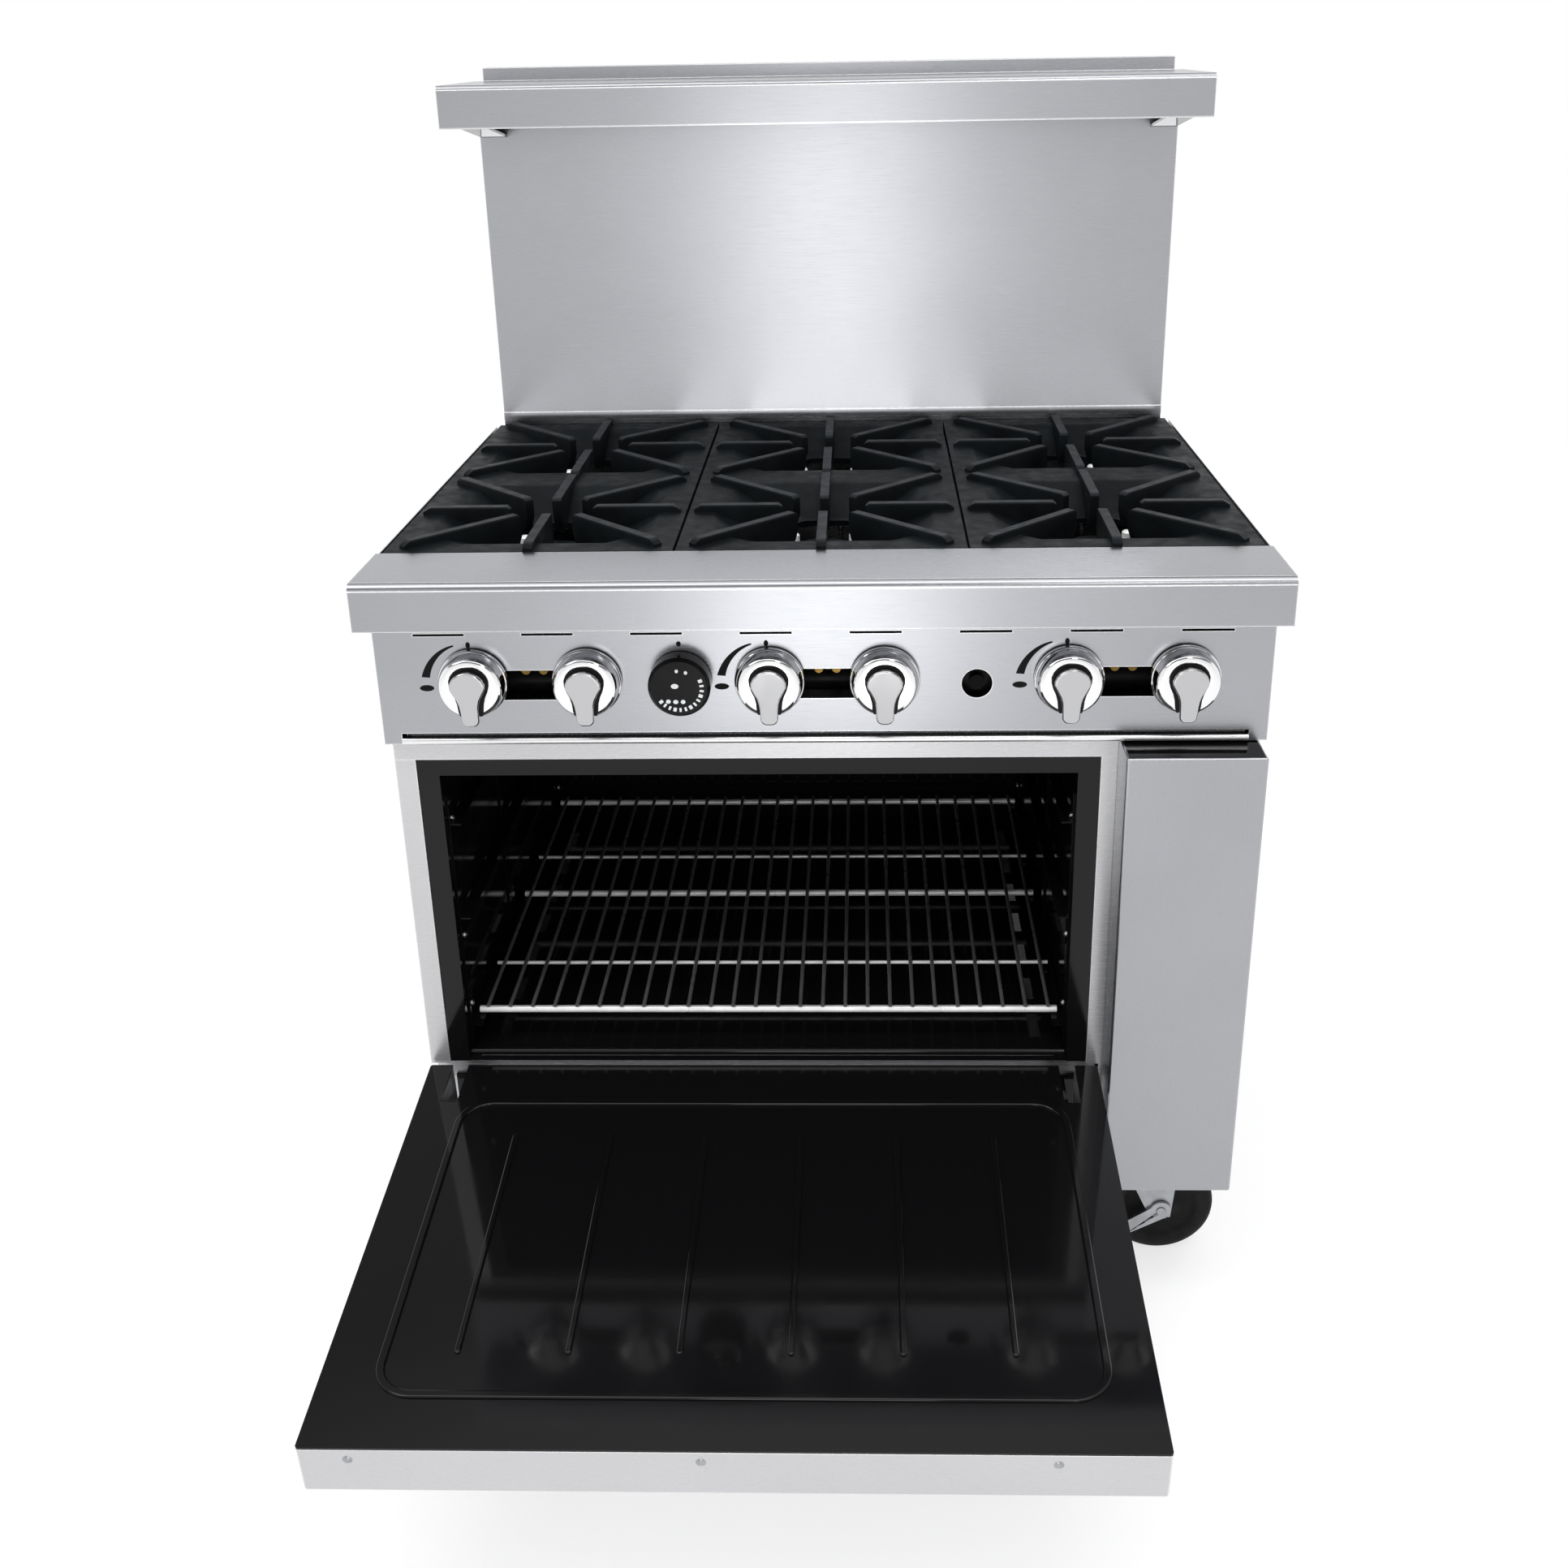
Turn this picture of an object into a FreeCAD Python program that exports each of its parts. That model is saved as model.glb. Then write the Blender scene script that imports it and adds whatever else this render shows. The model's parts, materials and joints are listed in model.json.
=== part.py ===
import FreeCAD, Part
import math
import os

# A six-burner commercial gas range with one oven, built as separate parts.
# Millimetres. X runs to the right, Y to the back, Z up, and the floor is Z = 0.
# Shapes are drawn with the front face of the front ledge on Y = 0, and save() moves them all so that
# the middle of the whole range, with its door open, stands on the origin.

V = FreeCAD.Vector
X_AXIS = V(1, 0, 0)
Y_AXIS = V(0, 1, 0)
Z_AXIS = V(0, 0, 1)

# ---- Driving dimensions -------------------------------------------------------------------------

SHEET = 1.2              # stainless and enamelled sheet
PLATE = 3.0              # brackets and rails
GAP = 0.5                # clearance between parts that only stand beside each other

WIDTH = 914.4            # over the front ledge
LEDGE_TOP = 878.0
LEDGE_HEIGHT = 49.0
LEDGE_DEPTH = 104.0
LEDGE_ROLL = 7.0
LEDGE_BOTTOM = LEDGE_TOP - LEDGE_HEIGHT

BODY_WIDTH = 898.0
BODY_BOTTOM = 160.0
BODY_BACK = 782.0
FRAME_Y = 59.0           # front face of the oven's stainless frame
HEADER_BOTTOM = 666.0
FRAME_TOP = 689.0
MOUTH_LEFT = -427.0      # inner edges of the frame's two stiles
MOUTH_RIGHT = 288.0

PANEL_Y = 45.0           # front face of the control panel
PANEL_WIDTH = 905.0
PANEL_BOTTOM = 690.0     # lower end of the panel's two ends
PANEL_EDGE = 702.0       # lower edge between its ends, over the crumb tray
PANEL_EAR = 19.0
LOUVRE_PITCH = 110.0
LOUVRE_WIDTH = 52.0
LOUVRE_BOTTOM = 808.6
LOUVRE_TOP = 811.0
KNOB_Z = 760.0
PAIR_X = (-295.0, 6.0, 307.0)
KNOB_STEP = 58.0         # from the middle of a pair to each of its knobs
KNOB_X = [pair + side * KNOB_STEP for pair in PAIR_X for side in (-1, 1)]
THERMOSTAT_X = -142.0
DIAL_R = 31.5
DIAL_DEPTH = 21.0
DIAL_RIM = 4.0
SIGHT_X = 157.0
STEM_R = 4.0
SHAFT_CLEARANCE = 0.05   # radial, on every shaft that turns

COLUMN = 301.0           # pitch of the three columns of burners
GRATE_FRONT = 106.0
GRATE_DEPTH = 588.0
GRATE_RIM = 11.0         # thickness of the flat rim
GRATE_DROP = 34.0        # depth of the dished web
RIB_THICK = 10.0
BURNER_Y = (253.0, 547.0)
BURNER_FOOT = 806.0

GUARD_Y = 698.0
GUARD_WIDTH = 890.0
GUARD_TOP = 1334.0
SHELF_FRONT = 538.0
SHELF_BACK = 746.0
SHELF_BOTTOM = 1269.0
SHELF_TOP = 1318.0
SHELF_ROLL = 5.0

CAVITY_LEFT = -404.0
CAVITY_RIGHT = 265.0
CAVITY_FLOOR = 300.0
CAVITY_TOP = 647.0
CAVITY_BACK = 662.0
DECK_LIP_R = 3.0
WOOL = 34.0              # thickness of the insulation

DOOR_LEFT = -448.0
DOOR_RIGHT = 300.0
DOOR_TOP = 688.5
DOOR_THICK = 54.0
DOOR_WALL = 1.0
DOOR_BEND = 3.0
HINGE_INSET = 47.0       # from the closed door's inner face out to the hinge axis
DOOR_GAP = 1.5
DOOR_INNER_Y = FRAME_Y - DOOR_GAP
HINGE_Y = DOOR_INNER_Y - HINGE_INSET
HINGE_Z = 240.5
DOOR_BOTTOM = HINGE_Z - HINGE_INSET
DOOR_DROOP = 5.0         # how far past level the open door rests, in degrees
DOOR_SWING = 90.0 + DOOR_DROOP
HINGE_X = (-414.0, 266.0)
HINGE_PIN_R = 3.0
HINGE_EYE_R = 5.5
COVER_OUTER_TOP = 340.0  # the slanted top of the black covers at the foot of the oven's flange
COVER_INNER_TOP = 373.0
SCREW_HEAD = 1.5
SCREW_DEPTH = 14.0       # the edge screws sit this far in from the door's inner face
SCREW_X = (-404.0, -100.0, 204.0)
BEAD = (-400.0, 260.0, 252.0, 638.0)  # the liner's raised bead on the closed door: x and z
BEAD_CORNER = 38.0
BEAD_WIDTH = 8.0
LINER_RAISE = 2.5
LINER_SOFT = 1.8
RIB_START = -330.0
RIB_PITCH = 101.2
RIB_LOW = 306.0
RIB_HIGH = 590.0
SWEEP_BACK = 83.0        # the lower front is set back this far so that the door's foot can swing
SWEEP_BOTTOM = 192.0
SWEEP_TOP = 290.0

BOX_LEFT = 305.0         # the fixed stainless panel beside the door
BOX_RIGHT = 446.0
BOX_FRONT = 4.0
BOX_TOP = 688.0

RACK_Z = 341.0
RACK_DEPTH = 535.0
RACK_FRONT = 97.0
RACK_WIRE_R = 2.2
RACK_BAR_R = 4.0
RACK_PITCH = 25.4
RACK_BARS = (0.0, 0.5, 1.0)   # the heavy cross bars' places from front to back, as shares of the depth
RACK_TIES = (0.18, 0.68)      # the thin cross wires' places
GUIDE_LEVELS = (RACK_Z - 2 * RACK_BAR_R, 470.0, 585.0)

TRAY_HALF = 433.0
TRAY_BOTTOM = 692.5
TRAY_TOP = 700.5         # low enough for the whole tray to pass under the panel's edge
TRAY_LIP = 697.0
TRAY_BACK = 680.0

OVEN_BURNER_FEET = (146.0, 560.0)

WHEEL_R = 63.5
WHEEL_WIDTH = 32.0
AXLE_R = 5.0
KINGPIN_R = 6.0
TRAIL = 34.0
KINGPINS = (              # kingpin x and y, and the way the wheel trails behind it
    (-356.0, 112.0, (-1, 0)),
    (356.0, 112.0, (1, 0)),
    (-356.0, 690.0, (0, 1)),
    (356.0, 690.0, (0, 1)),
)
BRAKED = (0, 1)

PIPE_R = 13.35           # 3/4 inch gas pipe
MANIFOLD_Y = 96.0
MANIFOLD_Z = 742.0
VENTURI_Z = 792.0
VENTURI_R = 13.0
INLET_X = -330.0
INLET_Z = 742.0
INLET_END = 830.0
INLET_NUT = (BODY_BACK + 1.0, BODY_BACK + 11.0)

SWING = math.radians(DOOR_SWING)
SCREW_REACH = (DOOR_TOP + SCREW_HEAD - HINGE_Z) * math.sin(SWING)
DOOR_FRONT_Y = HINGE_Y + (HINGE_INSET - SCREW_DEPTH) * math.cos(SWING) - SCREW_REACH
ORIGIN_Y = (DOOR_FRONT_Y + INLET_END) / 2


# ---- Shape helpers ------------------------------------------------------------------------------

def box(x0, x1, y0, y1, z0, z1):
    return Part.makeBox(x1 - x0, y1 - y0, z1 - z0, V(x0, y0, z0))


def rod(x, y, z, axis, radius, length):
    """A cylinder that starts at x, y, z and runs along axis."""
    return Part.makeCylinder(radius, length, V(x, y, z), axis)


def fused(shapes):
    joined = shapes[0].multiFuse(shapes[1:]) if len(shapes) > 1 else shapes[0]
    return joined.removeSplitter()


def prism(points, direction):
    """A solid with a flat outline, swept along direction."""
    outline = Part.makePolygon([V(*p) for p in points] + [V(*points[0])])
    return Part.Face(outline).extrude(V(*direction))


def rounded_box(x0, x1, y0, y1, z0, z1, radius, axis):
    """A box with its four edges along axis rounded."""
    solid = box(x0, x1, y0, y1, z0, z1)
    edges = [e for e in solid.Edges if abs(e.tangentAt(e.FirstParameter).dot(axis)) > 0.9]
    return solid.makeFillet(radius, edges)


def rolled_edge(x0, x1, y, z, radius):
    """A quarter-round fold of sheet along X; y and z are the middle of its curve."""
    outer = rod(x0, y, z, X_AXIS, radius, x1 - x0)
    inner = rod(x0 - 1, y, z, X_AXIS, radius - SHEET, x1 - x0 + 2)
    quarter = box(x0, x1, y - radius, y, z, z + radius)
    return outer.cut(inner).common(quarter)


def moved(shape, x=0.0, y=0.0, z=0.0):
    copy = shape.copy()
    copy.translate(V(x, y, z))
    return copy


def opened(shape):
    """Turns a piece of the closed door to where it lies when the door is open."""
    copy = shape.copy()
    copy.rotate(V(0, HINGE_Y, HINGE_Z), X_AXIS, DOOR_SWING)
    return copy


def save(name, solids):
    whole = solids[0] if len(solids) == 1 else Part.makeCompound(solids)
    placed = moved(whole, y=-ORIGIN_Y)
    placed.exportStep(f"parts/{name}.step")


# ---- Body ---------------------------------------------------------------------------------------

def side_panels():
    half = BODY_WIDTH / 2
    front = FRAME_Y + SHEET + 0.3
    left = box(-half, -half + SHEET, front, BODY_BACK - SHEET, BODY_BOTTOM, LEDGE_BOTTOM)
    notch = box(-half - 1, -half + 2, front - 1, SWEEP_BACK, SWEEP_BOTTOM, SWEEP_TOP)
    save("left_side_panel", [left.cut(notch)])
    save("right_side_panel", [box(half - SHEET, half, front, BODY_BACK - SHEET, BODY_BOTTOM, LEDGE_BOTTOM)])


def back_panel():
    half = BODY_WIDTH / 2
    sheet = box(-half, half, BODY_BACK - SHEET, BODY_BACK, BODY_BOTTOM, LEDGE_BOTTOM)
    for row in range(4):
        for column in (-2, -1, 0, 1, 2):
            x = column * 150.0
            z = 230.0 + row * 18.0
            sheet = sheet.cut(box(x - 45, x + 45, BODY_BACK - 3, BODY_BACK + 1, z, z + 6))
    hole = rod(INLET_X, BODY_BACK - 3, INLET_Z, Y_AXIS, PIPE_R + 4, 5)
    save("back_panel", [sheet.cut(hole)])


def base_frame():
    """Rails round the foot of the body, cross rails for the oven burner, corner plates and a bottom pan."""
    half = BODY_WIDTH / 2 - SHEET - GAP
    front = SWEEP_BACK + SHEET + GAP
    back = BODY_BACK - SHEET - GAP
    low = BODY_BOTTOM
    flange = BODY_BOTTOM + PLATE
    top = BODY_BOTTOM + 30
    rail = 34.0
    plate_reach = 58.0
    plate_half = 48.0
    inner = KINGPINS[1][0] - plate_reach
    solids = [
        box(-half, -half + PLATE, front, back, flange, top),
        box(half - PLATE, half, front, back, flange, top),
        box(-half + PLATE, half - PLATE, front, front + PLATE, flange, top),
        box(-half + PLATE, half - PLATE, back - PLATE, back, flange, top),
        box(-half, half, front, front + rail, low, flange),
        box(-half, half, back - rail, back, low, flange),
        box(-half + PLATE, half - PLATE, front + PLATE, back - PLATE, flange, flange + SHEET),
    ]
    for y in OVEN_BURNER_FEET:
        solids.append(box(-inner, inner, y - 6, y + 14, low, flange))
    for x, y, _ in KINGPINS:
        outer = half if x > 0 else -half
        near, far = sorted((outer, math.copysign(inner, x)))
        y0 = max(y - plate_half, front + rail)
        y1 = min(y + plate_half, back - rail)
        solids.append(box(near, far, y0, y1, low, flange))
    save("base_frame", solids)


def front_frame():
    """The stainless frame round the oven's mouth, and the kick strip, set back below the door."""
    half = BODY_WIDTH / 2
    back = FRAME_Y + SHEET
    low, high = SWEEP_TOP, HEADER_BOTTOM
    kick_end = DOOR_RIGHT + 1.8
    kick_start = -half + SHEET + 0.3
    set_back = SWEEP_BACK + SHEET
    ledge = SWEEP_BOTTOM - SHEET
    save("front_frame", [
        box(-half, half, FRAME_Y, back, high, FRAME_TOP),
        box(-half, MOUTH_LEFT, FRAME_Y, back, low, high),
        box(MOUTH_RIGHT, half, FRAME_Y, back, low, high),
        box(DOOR_RIGHT + 2, half, FRAME_Y, back, BODY_BOTTOM, low),
        box(-half, kick_end, FRAME_Y, back, BODY_BOTTOM, SWEEP_BOTTOM),
        box(kick_start, kick_end, back, SWEEP_BACK, ledge, SWEEP_BOTTOM),
        box(kick_start, kick_end, SWEEP_BACK, set_back, ledge, low),
        box(MOUTH_LEFT - SHEET, MOUTH_LEFT, back, back + 12, low, high),
        box(MOUTH_RIGHT, MOUTH_RIGHT + SHEET, back, back + 12, low, high),
    ])


def right_box_panel():
    """A five-sided stainless cover beside the door, as deep as the door is thick."""
    back = FRAME_Y - 0.3
    top = BOX_TOP
    save("right_box_panel", [
        box(BOX_LEFT, BOX_RIGHT, BOX_FRONT, BOX_FRONT + SHEET, BODY_BOTTOM, top),
        box(BOX_LEFT, BOX_LEFT + SHEET, BOX_FRONT + SHEET, back, BODY_BOTTOM, top),
        box(BOX_RIGHT - SHEET, BOX_RIGHT, BOX_FRONT + SHEET, back, BODY_BOTTOM, top),
        box(BOX_LEFT + SHEET, BOX_RIGHT - SHEET, BOX_FRONT + SHEET, back, top - SHEET, top),
        box(BOX_LEFT + SHEET, BOX_RIGHT - SHEET, BOX_FRONT + SHEET, back, BODY_BOTTOM, BODY_BOTTOM + SHEET),
    ])


def front_ledge():
    """The work ledge across the front: a folded sheet with a rounded front edge and closed ends."""
    half = WIDTH / 2
    wall = SHEET
    radius = LEDGE_ROLL
    inner = half - wall
    top = LEDGE_TOP - wall
    save("front_ledge", [
        box(-half, half, radius, LEDGE_DEPTH, top, LEDGE_TOP),
        box(-half, half, 0, wall, LEDGE_BOTTOM, LEDGE_TOP - radius),
        rolled_edge(-half, half, radius, LEDGE_TOP - radius, radius),
        box(-inner, inner, wall, PANEL_Y - GAP, LEDGE_BOTTOM, LEDGE_BOTTOM + wall),
        box(-inner, inner, LEDGE_DEPTH - wall, LEDGE_DEPTH, LEDGE_TOP - 20, top),
        box(-half, -inner, radius, LEDGE_DEPTH, LEDGE_BOTTOM, top),
        box(inner, half, radius, LEDGE_DEPTH, LEDGE_BOTTOM, top),
        box(-half, -inner, wall, radius, LEDGE_BOTTOM, LEDGE_TOP - radius),
        box(inner, half, wall, radius, LEDGE_BOTTOM, LEDGE_TOP - radius),
    ])


def control_panel():
    half = PANEL_WIDTH / 2
    top = LEDGE_BOTTOM + 20
    inner = half - PANEL_EAR
    back = PANEL_Y + SHEET
    sheet = box(-half, half, PANEL_Y, back, PANEL_BOTTOM, top)
    sheet = sheet.cut(box(-inner, inner, PANEL_Y - 1, back + 1, PANEL_BOTTOM - 1, PANEL_EDGE))
    cuts = [rod(x, PANEL_Y - 1, KNOB_Z, Y_AXIS, 9, 4) for x in KNOB_X]
    cuts.append(rod(THERMOSTAT_X, PANEL_Y - 1, KNOB_Z, Y_AXIS, 9, 4))
    cuts.append(rod(SIGHT_X, PANEL_Y - 1, KNOB_Z - 6, Y_AXIS, 15.5, 4))
    cuts += [box(x - 32, x + 32, PANEL_Y - 1, back + 1, KNOB_Z - 21, KNOB_Z + 11) for x in PAIR_X]
    slot_half = LOUVRE_WIDTH / 2
    for place in range(8):
        x = (place - 3.5) * LOUVRE_PITCH
        cuts.append(box(x - slot_half, x + slot_half, PANEL_Y - 1, back + 1, LOUVRE_BOTTOM, LOUVRE_TOP))
    for cut in cuts:
        sheet = sheet.cut(cut)
    side = FRAME_Y - 0.3
    ends = [
        box(-half, -half + SHEET, back, side, PANEL_BOTTOM, LEDGE_BOTTOM - GAP),
        box(half - SHEET, half, back, side, PANEL_BOTTOM, LEDGE_BOTTOM - GAP),
    ]
    hem = box(-inner, inner, back, back + 8, PANEL_EDGE, PANEL_EDGE + SHEET)
    save("control_panel", [sheet, hem] + ends)


# ---- Cooktop ------------------------------------------------------------------------------------

def cooktop_frame():
    """Side trims, grate supports, cross rails for the burners and guides for the crumb tray."""
    half = WIDTH / 2
    inner = half - SHEET
    front = LEDGE_DEPTH + GAP
    back = GUARD_Y - GAP
    rear_rail = back - SHEET
    seat = LEDGE_TOP - GRATE_RIM - GAP
    under = seat - SHEET
    side = BODY_WIDTH / 2 - SHEET - GAP
    middle = COLUMN / 2
    guide = TRAY_BOTTOM - 0.8
    guide_front = FRAME_Y + 14
    bands = (
        (inner, half, front, back, LEDGE_BOTTOM, LEDGE_TOP - 3),
        (side - 28, inner, front, back, LEDGE_BOTTOM + 0.3, LEDGE_BOTTOM + 0.3 + SHEET),
        (inner - 14, inner, front, back, under, seat),
        (middle - 7, middle + 7, front, back, under, seat),
        (middle - 2, middle + 2, front, rear_rail, LEDGE_BOTTOM - 30, under),
        (TRAY_HALF - 12, side, guide_front, back, guide - SHEET, guide),
        (TRAY_HALF + 3, TRAY_HALF + 3 + SHEET, guide_front, back, guide, guide + 20),
    )
    solids = [box(-inner, inner, rear_rail, back, LEDGE_BOTTOM + 1.6, under)]
    for x0, x1, y0, y1, z0, z1 in bands:
        solids.append(box(x0, x1, y0, y1, z0, z1))
        solids.append(box(-x1, -x0, y0, y1, z0, z1))
    rail_top = VENTURI_Z - VENTURI_R - GAP
    for y in BURNER_Y:
        solids.append(box(-side, side, y - 11, y + 11, rail_top - PLATE, rail_top))
    save("cooktop_frame", solids)


def octagon(half_x, half_y, corner, z):
    """Eight points: a rectangle with its corners cut off."""
    return [
        (half_x, half_y - corner, z), (half_x - corner, half_y, z),
        (-half_x + corner, half_y, z), (-half_x, half_y - corner, z),
        (-half_x, -half_y + corner, z), (-half_x + corner, -half_y, z),
        (half_x - corner, -half_y, z), (half_x, -half_y + corner, z),
    ]


def frustum(lower, upper):
    wires = [Part.makePolygon([V(*p) for p in ring] + [V(*ring[0])]) for ring in (lower, upper)]
    return Part.makeLoft(wires, True, True)


def grate_cell():
    """One burner's share of a grate, round the origin: a dished web and eight ribs, as a list.

    Each rib has an inner and an outer end, measured from the middle: across, diagonal, front to back.
    """
    rim_top = LEDGE_TOP
    rib_top = rim_top + 8
    web = 6.0
    mouth = (133.0, 131.0, 44.0)
    throat = (60.0, 60.0, 35.0)
    low = rim_top - GRATE_DROP
    outer = frustum(octagon(*throat, low), octagon(*mouth, rim_top))
    inner = frustum(octagon(*throat, low + web), octagon(*mouth, rim_top + web))
    throat_hole = prism(octagon(55.0, 55.0, 32.0, low - 1), (0, 0, web + 2))
    bowl = outer.cut(inner).cut(throat_hole)
    pieces = [bowl]
    reaches = ((46.0, 143.0), (44.0, 188.0), (28.0, 146.0), (44.0, 188.0))
    thick = RIB_THICK
    for turn in range(8):
        inner_end, end = reaches[turn % 4]
        profile = [
            (inner_end, -thick / 2, rib_top - 22),
            (inner_end, -thick / 2, rib_top - 3),
            (inner_end + 4, -thick / 2, rib_top),
            (end - 8, -thick / 2, rib_top),
            (end, -thick / 2, rib_top - 5),
            (end, -thick / 2, rim_top - 8),
            (128.0, -thick / 2, rim_top - 8),
            (64.0, -thick / 2, low + 1),
            (inner_end + 8, -thick / 2, low + 1),
        ]
        rib = prism(profile, (0, thick, 0))
        rib.rotate(V(0, 0, 0), Z_AXIS, 45.0 * turn)
        pieces.append(rib)
    return pieces


def grate_casting():
    """A grate over two burners, centred on X = 0."""
    half = COLUMN / 2 - 1.5
    back = GRATE_FRONT + GRATE_DEPTH
    rim = box(-half, half, GRATE_FRONT, back, LEDGE_TOP - GRATE_RIM, LEDGE_TOP)
    pieces = []
    for y in BURNER_Y:
        window = prism(octagon(132.0, 130.0, 44.0, LEDGE_TOP - GRATE_RIM - 1), (0, 0, GRATE_RIM + 2))
        window.translate(V(0, y, 0))
        rim = rim.cut(window)
        for piece in grate_cell():
            pieces.append(moved(piece, y=y))
    return fused([rim] + pieces)


def grates():
    casting = grate_casting()
    for name, column in (("left", -1), ("center", 0), ("right", 1)):
        save(f"grate_{name}", [moved(casting, x=column * COLUMN)])


# ---- Burners and gas train ----------------------------------------------------------------------

def burner_places():
    """The x and y of each burner, and the knob that feeds it."""
    places = []
    for column in range(3):
        for row in range(2):
            places.append(((column - 1) * COLUMN, BURNER_Y[row], KNOB_X[2 * column + row]))
    return places


def burner_heads():
    """Cast heads with a ring of flame ports and a raised cap."""
    solids = []
    ports = 16
    for x, y, _ in burner_places():
        head = fused([
            rod(x, y, BURNER_FOOT, Z_AXIS, 46, 18),
            rod(x, y, BURNER_FOOT + 18, Z_AXIS, 40, 8),
            Part.makeCone(40, 30, 5, V(x, y, BURNER_FOOT + 26), Z_AXIS),
        ])
        head = head.cut(rod(x, y, BURNER_FOOT - 5, Z_AXIS, 14, 40))
        for port in range(ports):
            hole = rod(x + 34, y, BURNER_FOOT + 9, X_AXIS, 2.0, 16)
            hole.rotate(V(x, y, 0), Z_AXIS, 360.0 / ports * port)
            head = head.cut(hole)
        solids.append(head)
    save("burner_heads", solids)


def burner_venturis():
    """Mixer tubes from the valve orifices to the burner heads."""
    solids = []
    start = 148.0
    z = VENTURI_Z
    radius = VENTURI_R
    for x, y, knob in burner_places():
        tube = rod(knob, start, z, Y_AXIS, radius, y - start + radius + 2)
        bell = Part.makeCone(radius + 6, radius, 22, V(knob, start, z), Y_AXIS)
        side = math.copysign(1, x - knob)
        arm = rod(knob, y, z, X_AXIS * side, radius - 1.5, abs(x - knob))
        riser = rod(x, y, z - radius + 1, Z_AXIS, radius + 4, BURNER_FOOT - z + radius - 1.3)
        solids.append(fused([tube, bell, arm, riser]))
    save("burner_venturis", solids)


def gas_manifold():
    pipe = rod(-420, MANIFOLD_Y, MANIFOLD_Z, X_AXIS, PIPE_R, 840)
    cap_left = rod(-432, MANIFOLD_Y, MANIFOLD_Z, X_AXIS, PIPE_R + 3, 14)
    cap_right = rod(418, MANIFOLD_Y, MANIFOLD_Z, X_AXIS, PIPE_R + 3, 14)
    save("gas_manifold", [fused([pipe, cap_left, cap_right])])


def manifold_room(x):
    """A stretch of the manifold, a little oversize, to cut the seats of the valves that stand on it."""
    return rod(x - 30, MANIFOLD_Y, MANIFOLD_Z, X_AXIS, PIPE_R + 0.1, 60)


def burner_valves():
    """A brass valve for each knob, standing on the manifold, with its stem through the panel."""
    solids = []
    seat = MANIFOLD_Z + PIPE_R
    for x in KNOB_X:
        solid = fused([
            rod(x, MANIFOLD_Y, seat - 4, Z_AXIS, 9, 18),
            rod(x, 58, KNOB_Z + 12, Y_AXIS, 11, 62),
            rod(x, PANEL_Y - 26, KNOB_Z, Y_AXIS, STEM_R, 40),
            rod(x, 56, KNOB_Z, Y_AXIS, 10, 10),
            box(x - 7, x + 7, 100, 122, KNOB_Z + 8, VENTURI_Z + 6),
            Part.makeCone(8, 4, 20, V(x, 118, VENTURI_Z), Y_AXIS),
        ])
        solids.append(solid.cut(manifold_room(x)).removeSplitter())
    save("burner_valves", solids)


def pilot_valves():
    """Small brass adjusting valves seen through the panel's three windows."""
    solids = []
    for pair in PAIR_X:
        for side in (-1, 1):
            x = pair + side * 9
            z = MANIFOLD_Z + PIPE_R + 1
            body = box(x - 5.5, x + 5.5, 82, 106, z, z + 13)
            nose = rod(x, 66, z + 6.5, Y_AXIS, 4.5, 18)
            foot = rod(x, MANIFOLD_Y, z - 4, Z_AXIS, 4, 6)
            solids.append(fused([body, nose, foot]).cut(manifold_room(x)).removeSplitter())
    save("pilot_valves", solids)


def pilot_tubes():
    """Aluminium pilot tubes: along the bay, then up beside each burner head."""
    solids = []
    radius = 3.0
    start = 106.3
    level = MANIFOLD_Z + PIPE_R + 7.5
    for index, (x, y, _) in enumerate(burner_places()):
        pair = PAIR_X[index // 2]
        way = -1 if index % 2 == 0 else 1
        tube_x = pair + way * 9
        bend = 14.0
        top = BURNER_FOOT + 22
        foot = y - 62
        run = Part.LineSegment(V(tube_x, start, level), V(tube_x, foot - bend, level))
        half_turn = bend * math.sqrt(0.5)
        corner = V(tube_x, foot - bend + half_turn, level + bend - half_turn)
        arc = Part.Arc(V(tube_x, foot - bend, level), corner, V(tube_x, foot, level + bend))
        rise = Part.LineSegment(V(tube_x, foot, level + bend), V(tube_x, foot, top))
        path = Part.Wire([run.toShape(), arc.toShape(), rise.toShape()])
        ring = Part.Wire([Part.makeCircle(radius, V(tube_x, start, level), Y_AXIS)])
        solids.append(path.makePipeShell([ring], True, False))
        solids.append(rod(tube_x, foot, top, Z_AXIS, 5, 8))
    save("pilot_tubes", solids)


def gas_inlet():
    """The supply pipe out of the back, with a lock nut, and a pressure regulator inside the body."""
    pipe = rod(INLET_X, 640, INLET_Z, Y_AXIS, PIPE_R, INLET_END - 640)
    regulator = rod(INLET_X, 700, INLET_Z - 32, Z_AXIS, 30, 50)
    cap = rod(INLET_X, 700, INLET_Z + 18, Z_AXIS, 14, 16)
    nut_r = 20.0
    start, end = INLET_NUT
    angles = [math.radians(60.0 * side) for side in range(6)]
    corners = [(INLET_X + nut_r * math.cos(a), start, INLET_Z + nut_r * math.sin(a)) for a in angles]
    nut = prism(corners, (0, end - start, 0))
    save("gas_inlet", [fused([pipe, regulator, cap, nut])])


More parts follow.
